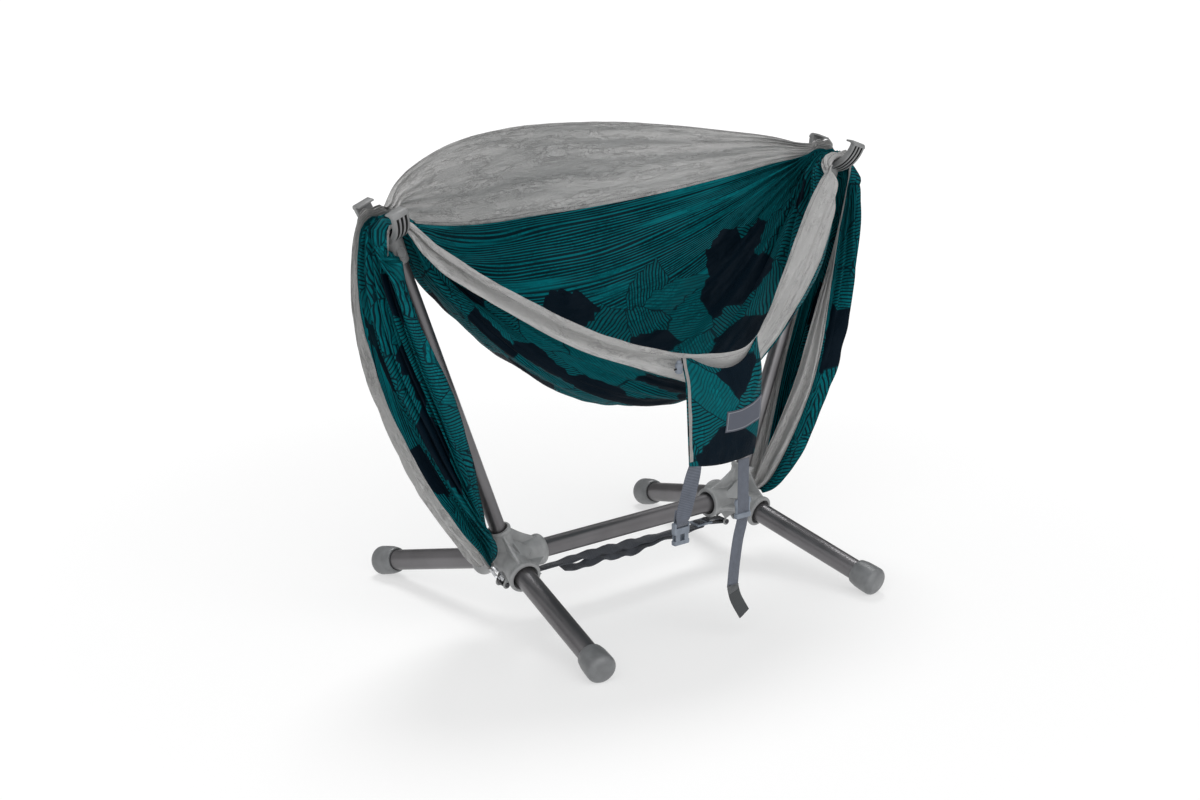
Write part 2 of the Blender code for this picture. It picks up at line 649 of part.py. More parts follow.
# The drape: share of the way from the cord to the yoke, bulge, half width, tuck and gathering.
DRAPE = ((0.0, 0.008, 0.020, 0.006, 1.0), (0.03, 0.018, 0.036, 0.010, 0.9), (0.09, 0.026, 0.050, 0.014, 0.75),
         (0.20, 0.038, 0.062, 0.020, 0.4), (0.36, 0.050, 0.072, 0.028, 0.1), (0.54, 0.055, 0.076, 0.034, 0.0),
         (0.73, 0.050, 0.070, 0.028, 0.0), (0.89, 0.030, 0.054, 0.015, 0.0))
SEAT_SHARES = (0.88, 0.74, 0.56, 0.38, 0.19, 0.0)
# Height of the loose folds at each station, from the cord to the middle of the seat.
FOLDS = (0.003, 0.006, 0.010, 0.013, 0.014, 0.014, 0.012, 0.009, 0.006, 0.005, 0.005, 0.006, 0.009, 0.011,
         0.010, 0.007, 0.004, 0.003)
SPAN_STEPS = (1, 1, 1, 1, 1, 1, 1, 1, 1, 1, 1, 1, 2, 2, 2, 2, 2)


def cloth_stations(side):
    """The seven lines' points at each station, from the gathered end to the middle of the seat."""
    frame = yoke_frame(side)
    cloth_r = SADDLE_R - CLOTH_REST
    end = cloth_end(side)
    shoulder = frame @ Vector((side * (YOKE_BAND / 2 + 0.014), 0, -SADDLE_R))
    chord = shoulder - end
    bulge_way = Vector((chord.z * side, 0, -chord.x * side)).normalized()
    stations = []
    for share, bulge, half, tuck, gather in DRAPE:
        row = []
        for line in LINES:
            high, low = DRAPE_SHARE[line], GATHER_SHARE[line]
            across = high[0] + (low[0] - high[0]) * gather
            inward = high[1] + (low[1] - high[1]) * gather
            row.append(end + chord * share + bulge_way * (bulge - tuck * inward) + WORLD_Y * half * across)
        stations.append(row)
    for out, lift in ((YOKE_BAND / 2 + 0.002, -0.001), (0.0, 0.0), (-YOKE_BAND / 2 - 0.002, -0.001),
                      (-YOKE_BAND / 2 - 0.013, -0.012)):
        row = []
        for line in LINES:
            angle = radians(SADDLE_ANGLE[line])
            row.append(frame @ Vector((side * out, cloth_r * sin(angle), lift - cloth_r * cos(angle))))
        stations.append(row)
    for share in SEAT_SHARES:
        stations.append([seat_point(line, side * share) for line in LINES])
    return stations


def seat_point(line, share):
    """A point of one line inside the seat; share runs from -1 at the left yoke to 1 at the right."""
    side = 1 if share >= 0 else -1
    frame = yoke_frame(side)
    cloth_r = SADDLE_R - CLOTH_REST
    angle = radians(SADDLE_ANGLE[line])
    inward = -side * (YOKE_BAND / 2 + 0.002)
    start = frame @ Vector((inward, cloth_r * sin(angle), -cloth_r * cos(angle)))
    saddle = frame @ Vector((inward, 0, -cloth_r))
    y_mid, y_power, y_skew = SEAT_Y[line]
    drop, z_power, z_skew = SEAT_DROP[line]
    z_mid = saddle.z - drop
    reach = abs(share)
    lopsided = share * (1 - share * share)
    return Vector((saddle.x * reach, y_mid + (start.y - y_mid) * reach ** y_power + y_skew * lopsided,
                   z_mid + (start.z - z_mid) * reach ** z_power + z_skew * lopsided))


def cloth_rows():
    """Rows of seven points along the whole hammock, read smoothly from the stations."""
    left = cloth_stations(-1)
    right = cloth_stations(1)
    stations = left + right[-2::-1]
    folds = list(FOLDS) + list(FOLDS[-2::-1])
    spans = list(SPAN_STEPS) + list(SPAN_STEPS[::-1])
    rows = []
    for i in range(len(stations) - 1):
        before = stations[max(i - 1, 0)]
        after = stations[min(i + 2, len(stations) - 1)]
        for k in range(spans[i]):
            t = k / spans[i]
            row = [curve_point(before[n], stations[i][n], stations[i + 1][n], after[n], t)
                   for n in range(len(LINES))]
            rows.append((row, folds[i] + (folds[i + 1] - folds[i]) * t))
    rows.append((stations[-1], folds[-1]))
    return rows


def across_point(row, place):
    """A point across the cloth: place 0 is the front hem and place 6 is the back hem."""
    last = len(LINES) - 1
    i = min(int(place), last - 1)
    ends = [row[max(i - 1, 0)], row[i], row[i + 1], row[min(i + 2, last)]]
    return curve_point(*ends, place - i)


def cloth_panel(name, material, rows, first, last, columns, waves):
    """One cloth panel between two of the lines: a grid laid on the rows, raised into folds."""
    bm = bmesh.new()
    bmesh.ops.create_grid(bm, x_segments=len(rows) - 1, y_segments=columns, size=1.0)
    across = sorted({round(v.co.y, 5) for v in bm.verts})
    lengthwise = sorted({round(v.co.x, 5) for v in bm.verts})
    grown = bmesh.ops.extrude_face_region(bm, geom=bm.faces[:])
    outer = {item for item in grown["geom"] if isinstance(item, bmesh.types.BMVert)}
    for vert in bm.verts:
        i = lengthwise.index(round(vert.co.x, 5))
        share = across.index(round(vert.co.y, 5)) / columns
        place = first + (last - first) * share
        row, fold = rows[i]
        point = across_point(row, place)
        side_way = (across_point(row, min(place + 0.02, 6)) - across_point(row, max(place - 0.02, 0))).normalized()
        ahead = rows[min(i + 1, len(rows) - 1)][0]
        behind = rows[max(i - 1, 0)][0]
        length_way = across_point(ahead, place) - across_point(behind, place)
        normal = length_way.cross(side_way).normalized()
        lift = fold * (1 - cos(tau * waves * share)) / 2
        if share == 0 and first > 0:
            point = point + side_way * SEAM_GAP / 2
        if share == 1 and last < 6:
            point = point - side_way * SEAM_GAP / 2
        face = CLOTH_T / 2 if vert in outer else -CLOTH_T / 2
        vert.co = point + normal * (lift + face)
    from_bmesh(name, bm, material)


# Strap between the hubs, with its ladder buckle

def base_strap():
    left_pin, right_pin = strap_pin_centre(-1), strap_pin_centre(1)
    wrap = PIN_D / 2 + TOUCH_GAP + BASE_WEB_T / 2
    below, above = -0.0036, 0.0036
    lx, lz = right_pin.x - LADDER_FROM_PIN, right_pin.z + LADDER_ABOVE_PIN
    bar = HUB_SPACING
    path = [Vector((left_pin.x + 0.036, 0, left_pin.z - wrap + 0.0020)),
            Vector((left_pin.x + 0.012, 0, left_pin.z - wrap + 0.0004))]
    for k in range(7):
        turn = -pi / 2 - pi * k / 6
        path.append(left_pin + wrap * Vector((cos(turn), 0, sin(turn))))
    path += smooth_path([(left_pin.x + 0.012, 0, left_pin.z + wrap - 0.0002), (-0.222 * bar, 0, lz + below + 0.001),
                         (0.0, 0, lz + below - 0.001), (0.185 * bar, 0, lz + below), (lx - 0.022, 0, lz + below),
                         (lx - 0.0126, 0, lz + below), (lx - 0.0108, 0, lz - 0.0024), (lx - 0.0100, 0, lz),
                         (lx - 0.0092, 0, lz + 0.0024), (lx - 0.0075, 0, lz + above), (lx - 0.0015, 0, lz + above),
                         (lx + 0.0004, 0, lz + 0.0024), (lx + 0.0012, 0, lz), (lx + 0.0012, 0, lz - 0.0030),
                         (lx + 0.0002, 0, lz - 0.0056), (lx - 0.0030, 0, lz - 0.0066), (lx - 0.0200, 0, lz - 0.0070),
                         (0.241 * bar, 0, lz - 0.0120), (0.130 * bar, 0, lz - 0.0075), (0.019 * bar, 0, lz - 0.0130),
                         (-0.111 * bar, 0, lz - 0.0080), (-0.204 * bar, 0, lz - 0.0150),
                         (left_pin.x + TAIL_END_FROM_PIN, 0, lz - 0.0120)], 3)
    ribbon("base_strap", path, Vector((0, BASE_WEB_W / 2, 0)), BASE_WEB_T, BLACK_WEBBING)
    slots = shaper_group("ladder_slots")
    for k, (low, high) in enumerate(((-0.0130, -0.0070), (-0.0020, 0.0040), (0.0090, 0.0140))):
        box(f"ladder_slot_{k}", (high - low, BASE_WEB_W + 0.0012, 0.02), None,
            Matrix.Translation((lx + (low + high) / 2, 0, lz)), slots)
    plate = box("base_strap_buckle", (LADDER_LENGTH, LADDER_WIDTH, LADDER_THICKNESS), SLATE_PLASTIC,
                Matrix.Translation((lx, 0, lz)), bevel=0.0008)
    combine(plate, cuts=slots)
    end_bar = Vector((lx + 0.0160, 0, lz))
    ribbon("base_strap_loop", racetrack(end_bar, right_pin, wrap), Vector((0, BASE_WEB_W / 2, 0)),
           BASE_WEB_T, BLACK_WEBBING, closed=True)


# Pouch, its label, drawcord lock, and the two webbing straps with their buckle halves

HAMMOCK_ROWS = cloth_rows()


def hem_point(x):
    """Where the cloth's front hem passes at a given x."""
    hem = [row[0] for row, fold in HAMMOCK_ROWS]
    middle = len(hem) // 2
    i = middle
    while hem[i].x > x:
        i -= 1
    while hem[i + 1].x < x:
        i += 1
    return hem[i].lerp(hem[i + 1], (x - hem[i].x) / (hem[i + 1].x - hem[i].x))


def pouch_point(s, t, face):
    """The pouch's surface: s runs 0 to 1 left to right, t runs 0 to 1 top to bottom."""
    left = POUCH_LEFT + POUCH_DRIFT * t * 0.4
    right = POUCH_RIGHT - POUCH_TAPER * t * t
    x = left + (right - left) * s
    hem = hem_point(x)
    dip = POUCH_TOP_DIP * sin(pi * s) * (1 - t)
    middle_z = hem_point((POUCH_LEFT + POUCH_RIGHT) / 2).z
    z_top = hem.z - POUCH_TOP_DROP - dip
    z_low = middle_z - POUCH_HEIGHT - 0.008 * sin(pi * s) + 0.006 * (1 - s)
    settle = min(t / 0.3, 1.0)
    lean = settle * settle * (3 - 2 * settle)
    y = hem.y - POUCH_SET - POUCH_LEAN * lean
    flat_y = hem_point((POUCH_LEFT + POUCH_RIGHT) / 2).y - POUCH_SET - POUCH_LEAN
    y += (flat_y - y) * lean * t
    edge = (1 - abs(2 * s - 1) ** 2.5) * (1 - abs(2 * t - 1) ** 3)
    half = 0.0012 + (POUCH_T / 2 - 0.0012) * sqrt(max(edge, 0.0))
    return Vector((x, y - face * half, z_top + (z_low - z_top) * t))


def pouch():
    cells = 9
    bm = bmesh.new()
    bmesh.ops.create_grid(bm, x_segments=cells, y_segments=cells, size=0.5)
    grown = bmesh.ops.extrude_face_region(bm, geom=bm.faces[:])
    front = {item for item in grown["geom"] if isinstance(item, bmesh.types.BMVert)}
    for vert in bm.verts:
        vert.co = pouch_point(vert.co.x + 0.5, 0.5 - vert.co.y, 1 if vert in front else -1)
    from_bmesh("pouch", bm, TEAL_CLOTH)


def pouch_label():
    """A woven patch sewn on the pouch's face, following its curve."""
    bm = bmesh.new()
    bmesh.ops.create_grid(bm, x_segments=8, y_segments=4, size=0.5)
    grown = bmesh.ops.extrude_face_region(bm, geom=bm.faces[:])
    front = {item for item in grown["geom"] if isinstance(item, bmesh.types.BMVert)}
    for vert in bm.verts:
        s = LABEL_ACROSS + vert.co.x * LABEL_W / (POUCH_RIGHT - POUCH_LEFT)
        t = LABEL_DOWN - vert.co.y * LABEL_H / POUCH_HEIGHT
        stand_off = LABEL_LIFT + (LABEL_T if vert in front else 0.0)
        vert.co = pouch_point(s, t, 1) + Vector((0, -stand_off, 0))
    from_bmesh("pouch_label", bm, LABEL_CLOTH)


def cord_lock():
    edge = pouch_point(0.0, 0.13, 0)
    centre = edge + Vector((-CORD_LOCK_D / 2 - 0.0022, 0, 0))
    cord_z = centre.z
    holes = shaper_group("cord_lock_holes")
    inner = CORD_LOCK_D / 2 - 0.0018
    base = cord_z - CORD_LOCK_BELOW
    top = base + CORD_LOCK_H
    frame = Matrix.Translation((centre.x, centre.y, 0))
    body = turned("cord_lock_body",
                  [(0, top), (CORD_LOCK_D / 2 - 0.0008, top), (CORD_LOCK_D / 2, top - 0.0012), (CORD_LOCK_D / 2, base + 0.002),
                   (CORD_LOCK_D / 2 - 0.0018, base), (0, base)], SLATE_PLASTIC, frame, 20)
    turned("cord_lock_well", [(0, top + 0.01), (inner, top + 0.01), (inner, base + 0.0016), (0, base + 0.0016)],
           None, frame, 20, collection=holes)
    across = along(Vector((centre.x, centre.y, cord_z)), Vector((1, 0, 0)))
    cord_bore = DRAWCORD_D / 2 + SLIDE_GAP
    turned("cord_lock_bore", [(0, 0.02), (cord_bore, 0.02), (cord_bore, -0.02), (0, -0.02)], None, across, 12,
           collection=holes)
    combine(body, cuts=holes)
    button_r = inner - SLIDE_GAP
    button_top = top + 0.0050
    button_base = cord_z - DRAWCORD_D / 2 - 0.0012
    slots = shaper_group("cord_lock_button_slot")
    slot_low, slot_high = cord_z - cord_bore, cord_z + cord_bore + BUTTON_TRAVEL
    box("button_slot", (0.03, DRAWCORD_D + 2 * SLIDE_GAP, slot_high - slot_low), None,
        Matrix.Translation((centre.x, centre.y, (slot_low + slot_high) / 2)), slots)
    button = turned("cord_lock_button",
                    [(0, button_top), (button_r - 0.0012, button_top), (button_r, button_top - 0.0010),
                     (button_r, button_base), (0, button_base)], SLATE_PLASTIC, frame, 20)
    combine(button, cuts=slots)
    stub = [(edge.x - 0.0006, centre.y, cord_z), (centre.x, centre.y, cord_z),
            (centre.x - CORD_LOCK_D / 2 - 0.004, centre.y, cord_z - 0.0002)]
    route = smooth_path(stub, 4)
    cord = wire_mesh("drawcord", route, DRAWCORD_D / 2, BLACK_WEBBING, resolution=2)
    knot = shaper_group("drawcord_knot")
    bm = bmesh.new()
    bmesh.ops.create_uvsphere(bm, u_segments=12, v_segments=8, radius=DRAWCORD_D * 0.95)
    from_bmesh("drawcord_knot_ball", bm, None, Matrix.Translation(route[-1]), knot)
    combine(cord, solids=knot)


def hanging_strap_top(x):
    """The lowest point of the pouch's edge across a strap that hangs at x."""
    edge = [pouch_point(k / 60, 1.0, 0) for k in range(61)]
    near = [point for point in edge if abs(point.x - x) < WEBBING_W / 2 + 0.002]
    return min(near, key=lambda point: point.z)


def short_strap():
    """Short webbing that ends in the buckle's socket half, folded back through its bar."""
    top = hanging_strap_top(SHORT_STRAP_X)
    y = top.y
    bar = Vector((SHORT_STRAP_X - 0.028, y + 0.0036, top.z - 0.094))
    path = smooth_path([(SHORT_STRAP_X, y, top.z - STRAP_TOP_GAP), (SHORT_STRAP_X - 0.012, y - 0.002, top.z - 0.028),
                        (SHORT_STRAP_X - 0.020, y - 0.001, top.z - 0.058), (bar.x + 0.001, y, bar.z + 0.010),
                        (bar.x, y, bar.z + 0.001), (bar.x, y + 0.0002, bar.z - 0.0022),
                        (bar.x, bar.y - 0.0018, bar.z - 0.0048), (bar.x, bar.y, bar.z - 0.0055), (bar.x, bar.y + 0.0018, bar.z - 0.0048),
                        (bar.x, bar.y + 0.0034, bar.z - 0.0022), (bar.x, bar.y + 0.0036, bar.z + 0.001),
                        (bar.x + 0.001, bar.y + 0.0036, bar.z + 0.010), (bar.x + 0.003, bar.y + 0.0040, bar.z + 0.022)], 2)
    ribbon("short_strap", path, Vector((WEBBING_W / 2, 0, 0)), WEBBING_T, SLATE_WEBBING)
    body = box("buckle_socket", (BUCKLE_W, 0.0105, 0.040), SLATE_PLASTIC,
               Matrix.Translation((bar.x, bar.y, bar.z - 0.018)), bevel=0.0022)
    hollows = shaper_group("buckle_socket_hollows")
    box("webbing_window", (WEBBING_W + 0.0014, 0.03, 0.0052), None,
        Matrix.Translation((bar.x, bar.y, bar.z - 0.0046)), hollows)
    box("webbing_relief", (WEBBING_W + 0.0014, 0.03, 0.0100), None,
        Matrix.Translation((bar.x, bar.y - 0.0169, bar.z + 0.0020)), hollows)
    box("webbing_relief_back", (WEBBING_W + 0.0014, 0.03, 0.0100), None,
        Matrix.Translation((bar.x, bar.y + 0.0169, bar.z + 0.0020)), hollows)
    box("prong_cavity", (BUCKLE_W - 0.0050, 0.0060, 0.0300), None,
        Matrix.Translation((bar.x, bar.y, bar.z - 0.0260)), hollows)
    for end in (-1, 1):
        box(f"side_window_{end}", (0.0060, 0.02, 0.0120), None,
            Matrix.Translation((bar.x + end * BUCKLE_W / 2, bar.y, bar.z - 0.0240)), hollows)
    box("face_window", (0.0100, 0.0100, 0.0120), None,
        Matrix.Translation((bar.x, bar.y - 0.0060, bar.z - 0.0240)), hollows)
    combine(body, cuts=hollows)


def long_strap():
    """Long webbing with the buckle's prong half on it and a sewn tab at its free end."""
    top = hanging_strap_top(LONG_STRAP_X)
    y, x = top.y, LONG_STRAP_X
    end_z = top.z - LONG_STRAP_DROP
    buckle_z = top.z - PRONGS_BELOW_STRAP_TOP
    path = smooth_path([(x, y, top.z - STRAP_TOP_GAP), (x, y, top.z - 0.0461), (x, y, top.z - 0.0991), (x - 0.002, y, top.z - 0.1171),
                        (x - 0.012, y - 0.002, top.z - 0.1461), (x - 0.018, y - 0.001, top.z - 0.1911), (x - 0.021, y, end_z)], 4)
    ribbon("long_strap", path, Vector((WEBBING_W / 2, 0, 0)), WEBBING_T, SLATE_WEBBING)
    tab = smooth_path([(x - 0.0212, y, end_z - TOUCH_GAP), (x - 0.012, y + 0.001, end_z - 0.025), (x + 0.009, y + 0.001, end_z - 0.058)], 4)
    ribbon("strap_end_tab", tab, Vector((WEBBING_W / 2 - 0.0005, 0, 0)), WEBBING_T * 2, SLATE_WEBBING)
    base = box("buckle_prongs", (BUCKLE_W, 0.0085, 0.0095), SLATE_PLASTIC,
               Matrix.Translation((x, y, buckle_z)), bevel=0.0012)
    arms = shaper_group("buckle_prong_arms")
    for end in (-1, 1):
        box(f"prong_{end}", (0.0030, 0.0044, 0.030), None,
            Matrix.Translation((x + end * (BUCKLE_W / 2 - 0.0022), y, buckle_z + 0.016)), arms, bevel=0.0008)
        box(f"prong_hook_{end}", (0.0052, 0.0044, 0.0090), None,
            Matrix.Translation((x + end * (BUCKLE_W / 2 - 0.0008), y, buckle_z + 0.025)), arms, bevel=0.0012)
    slot = shaper_group("buckle_prong_slot")
    box("prong_slot", (WEBBING_W + 0.0012, WEBBING_T + 0.0010, 0.03), None,
        Matrix.Translation((x, y, buckle_z)), slot)
    combine(base, arms, slot)


# The assembly

tube("spreader_bar", along(Vector((0, 0, HUB_HEIGHT)), Vector((1, 0, 0))),
     -(HUB_SPACING / 2 - SOCKET_FLOOR - TOUCH_GAP), HUB_SPACING / 2 - SOCKET_FLOOR - TOUCH_GAP, BAR_TUBE_D)
floor_cut = shaper_group("floor_cut")
box("floor_block", (2.0, 2.0, 0.1), None, Matrix.Translation((0, 0, -0.05)), floor_cut)
for word, side in SIDES:
    hub(word, side)
    lug_pin(word + "_anchor_pin", anchor_pin_centre(side), ANCHOR_WEB_W)
    lug_pin(word + "_strap_pin", strap_pin_centre(side), BASE_WEB_W)
    tube(word + "_upright", along(hub_centre(side), upright_axis(side)), SOCKET_FLOOR + TOUCH_GAP,
         UPRIGHT_REACH + yoke_bore_top() - TOUCH_GAP, UPRIGHT_TUBE_D)
    yoke(word, side)
    anchor_chain(word, side)
    for end_name, end in ENDS:
        leg_frame = along(hub_centre(side), leg_axis(side, end))
        tube(f"{end_name}_{word}_leg", leg_frame, SOCKET_FLOOR + TOUCH_GAP, LEG_REACH, LEG_TUBE_D)
        foot_cap(f"{end_name}_{word}_foot", leg_frame, floor_cut)

cloth_panel("front_panel", GREY_CLOTH, HAMMOCK_ROWS, 0, 1, 4, 1)
cloth_panel("centre_panel", TEAL_CLOTH, HAMMOCK_ROWS, 1, 5, 12, 3)
cloth_panel("back_panel", GREY_CLOTH, HAMMOCK_ROWS, 5, 6, 4, 1)

base_strap()
pouch()
pouch_label()
cord_lock()
short_strap()
long_strap()
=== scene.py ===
"""A hammock chair on a folding-pole stand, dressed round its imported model."""

from math import cos, pi, radians, sin, sqrt

import bmesh
import bpy
import numpy as np
from mathutils import Matrix, Vector, noise


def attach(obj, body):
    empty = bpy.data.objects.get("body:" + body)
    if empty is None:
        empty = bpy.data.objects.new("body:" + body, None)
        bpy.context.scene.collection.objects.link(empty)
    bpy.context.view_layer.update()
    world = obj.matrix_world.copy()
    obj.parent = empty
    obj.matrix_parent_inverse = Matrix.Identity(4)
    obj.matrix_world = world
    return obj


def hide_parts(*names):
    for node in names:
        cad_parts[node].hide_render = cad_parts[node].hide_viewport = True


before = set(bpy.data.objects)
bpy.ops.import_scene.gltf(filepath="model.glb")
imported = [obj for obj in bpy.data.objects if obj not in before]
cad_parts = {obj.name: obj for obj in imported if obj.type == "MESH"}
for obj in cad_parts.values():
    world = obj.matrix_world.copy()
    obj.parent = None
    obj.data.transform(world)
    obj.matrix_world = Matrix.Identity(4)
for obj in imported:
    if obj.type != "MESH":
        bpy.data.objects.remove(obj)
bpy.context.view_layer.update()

X, Y = Vector((1, 0, 0)), Vector((0, 1, 0))
SIDES = (("left", -1), ("right", 1))
ENDS = (("front", -1), ("back", 1))

# The view: from the eye height of someone standing a few paces away, off the stand's left front corner.
# A short telephoto keeps the stand's uprights close to their true angles.
EYE, AIM = Vector((-2.449, -2.981, 1.499)), Vector((-0.266, -0.256, 0.466))
LENS_MM, SENSOR_MM = 66.1, 36.0


def in_scene(name, data):
    """A new object for a camera, lamp, mesh or curve, linked into the scene."""
    made = bpy.data.objects.new(name, data)
    bpy.context.scene.collection.objects.link(made)
    return made


camera_data = bpy.data.cameras.new("camera")
camera_data.lens = LENS_MM
camera_data.sensor_width = SENSOR_MM
camera = in_scene("camera", camera_data)
camera.matrix_world = Matrix.Translation(EYE) @ (AIM - EYE).to_track_quat("-Z", "Y").to_matrix().to_4x4()
bpy.context.scene.camera = camera


# The studio: a white sweep under soft light, a lamp high at the back right and a very wide one in front.
# The floor keeps the shadow that falls forward under the stand and is otherwise as pale as the background.
FLOOR_SIZE, FLOOR_WHITE, FLOOR_GLOW = 30.0, (0.93, 0.93, 0.93), 1.08
SHADOW_KEPT, WHITE_FROM, WHITE_BY = 0.50, 0.9, 2.3
SKY_LEVEL, BACKGROUND_LEVEL = 0.50, 1.3
SHINE_FROM, SHINE_RISE, SHINE_LEVELS = Vector((-1.3, -1.5, 2.4)), (-0.25, 0.85), (0.10, 1.7)
LAMPS = (("back_lamp", 1.25, 24, Vector((0.9, 1.3, 2.8))),
         ("front_lamp", 1.30, 80, Vector((-1.0, -2.2, 1.9))))
SMOOTH_BELOW = radians(34)


def math_node(operation):
    """A method of Signal that adds one Math node, fed with the value itself and what it is given."""
    def method(value, *others):
        return value.tree.node("ShaderNodeMath", {"operation": operation}, dict(enumerate((value, *others))))
    return method


class Signal:
    """One shader value: arithmetic on it adds the Math nodes that it needs."""

    def __init__(self, tree, socket):
        self.tree = tree
        self.socket = socket

    __add__ = __radd__ = math_node("ADD")
    __sub__ = math_node("SUBTRACT")
    __mul__ = __rmul__ = math_node("MULTIPLY")
    __truediv__ = math_node("DIVIDE")
    __pow__ = math_node("POWER")
    sine = math_node("SINE")
    cosine = math_node("COSINE")
    fraction = math_node("FRACT")
    size = math_node("ABSOLUTE")
    least = math_node("MINIMUM")
    most = math_node("MAXIMUM")

    def __rsub__(self, other):
        return self.tree.node("ShaderNodeMath", {"operation": "SUBTRACT"}, {0: other, 1: self})

    def off(self, level):
        """How far the value is from a level, on either side."""
        return (self - level).size()

    def zigzag(self):
        """A triangle wave: a half at each whole number and nothing midway between them."""
        return self.fraction().off(0.5)

    def ramp(self, low, high, to_low=0.0, to_high=1.0):
        """Runs smoothly from to_low to to_high while the value runs from low to high."""
        return self.tree.node("ShaderNodeMapRange", {"interpolation_type": "SMOOTHSTEP"},
                              {0: self, 1: low, 2: high, 3: to_low, 4: to_high})

    def fall(self, low, high, start=1.0):
        """Runs smoothly down from its start to nothing."""
        return self.ramp(low, high, start, 0.0)


class Tree:
    """The nodes of a material or the world: node() makes them, and feed() gives an input its value."""

    def __init__(self, owner):
        owner.use_nodes = True
        self.nodes = owner.node_tree.nodes
        self.links = owner.node_tree.links

    def feed(self, socket, value):
        if isinstance(value, Signal):
            self.links.new(value.socket, socket)
        elif hasattr(value, "__len__") and len(value) == 3 and len(socket.default_value) == 4:
            socket.default_value = (*value, 1.0)
        else:
            socket.default_value = value

    def node(self, kind, settings=None, inputs=None, out=0):
        made = self.nodes.new(kind)
        for key, value in (settings or {}).items():
            setattr(made, key, value)
        for key, value in (inputs or {}).items():
            self.feed(made.inputs[key], value)
        return Signal(self, made.outputs[out])


class Finish(Tree):
    """One material: constants go on its Principled shader, and methods drive the rest of it."""

    def __init__(self, name, **constants):
        self.material = bpy.data.materials.new(name)
        super().__init__(self.material)
        self.shader = self.nodes["Principled BSDF"]
        for key, value in constants.items():
            self.feed(self.shader.inputs[key.replace("_", " ").title().replace("Ior", "IOR")], value)

    def place(self, kind="Object"):
        return self.node("ShaderNodeTexCoord", out=kind)

    def noise(self, where, scale, detail=2.0, rough=0.5, warp=0.0):
        return self.node("ShaderNodeTexNoise", inputs={
            "Vector": where, "Scale": scale, "Detail": detail, "Roughness": rough, "Distortion": warp})

    def split(self, where):
        apart = self.node("ShaderNodeSeparateXYZ", inputs={0: where}).socket.node
        return [Signal(self, socket) for socket in apart.outputs]

    def join(self, x, y):
        return self.node("ShaderNodeCombineXYZ", inputs={0: x, 1: y})

    def mix(self, share, first, second):
        return self.node("ShaderNodeMix", {"data_type": "RGBA"}, {0: share, 6: first, 7: second}, out=2)

    def shades(self, share, colour, low, high):
        """One colour, from low to high times as bright while the share runs from nothing to one."""
        return self.mix(share, tuple(c * low for c in colour), tuple(c * high for c in colour))

    def colour(self, value):
        self.feed(self.shader.inputs["Base Color"], value)

    def roughness(self, value):
        self.feed(self.shader.inputs["Roughness"], value)

    def relief(self, height, depth):
        bump = self.node("ShaderNodeBump", inputs={"Height": height, "Distance": depth, "Strength": 1.0})
        self.feed(self.shader.inputs["Normal"], bump)


def made_object(name, bm, finish):
    """Turns a bmesh into an object at the origin, smooth but for its sharp corners."""
    mesh = bpy.data.meshes.new(name)
    bm.to_mesh(mesh)
    bm.free()
    mesh.shade_smooth()
    mesh.set_sharp_from_angle(angle=SMOOTH_BELOW)
    mesh.materials.append(finish.material)
    return in_scene(name, mesh)


def shell_object(name, bm, finish):
    """The same, with all its faces turned outward first."""
    bmesh.ops.recalc_face_normals(bm, faces=bm.faces)
    return made_object(name, bm, finish)


floor_finish = Finish("studio_floor", roughness=1.0, base_color=FLOOR_WHITE, specular_ior_level=0.0)
x, y, _ = floor_finish.split(floor_finish.place())
away = ((x * x + y * y) ** 0.5).ramp(WHITE_FROM, WHITE_BY, 1 - SHADOW_KEPT, 1.0)
lit = Signal(floor_finish, floor_finish.shader.outputs[0])
glow = floor_finish.node("ShaderNodeEmission", inputs={"Color": (1.0, 1.0, 1.0), "Strength": FLOOR_GLOW})
blend = floor_finish.node("ShaderNodeMixShader", inputs={0: away, 1: lit, 2: glow})
floor_finish.feed(floor_finish.nodes["Material Output"].inputs["Surface"], blend)
floor_mesh = bmesh.new()
bmesh.ops.create_grid(floor_mesh, x_segments=1, y_segments=1, size=FLOOR_SIZE / 2)
made_object("studio_floor", floor_mesh, floor_finish)

# Glossy surfaces mirror a soft glow from one side, and the camera sees plain white.
world = bpy.data.worlds.new("studio")
bpy.context.scene.world = world
sky = Tree(world)
sky.nodes.clear()
facing = sky.node("ShaderNodeVectorMath", {"operation": "DOT_PRODUCT"},
                  {0: sky.node("ShaderNodeTexCoord"), 1: SHINE_FROM.normalized()}, out="Value")
shine = sky.node("ShaderNodeMapRange", inputs=dict(enumerate((facing, *SHINE_RISE, *SHINE_LEVELS))))
level = SKY_LEVEL
for kind, seen in (("Is Glossy Ray", shine), ("Is Camera Ray", BACKGROUND_LEVEL)):
    ray = sky.node("ShaderNodeLightPath", out=kind)
    level = sky.node("ShaderNodeMix", inputs={0: ray, 2: level, 3: seen})
background = sky.node("ShaderNodeBackground", inputs={"Strength": level})
sky.feed(sky.nodes.new("ShaderNodeOutputWorld").inputs["Surface"], background)

for name, power, softness, lamp_from in LAMPS:
    light = bpy.data.lights.new(name, "SUN")
    light.energy = power
    light.angle = radians(softness)
    lamp = in_scene(name, light)
    lamp.matrix_world = (-lamp_from).to_track_quat("-Z", "Y").to_matrix().to_4x4()


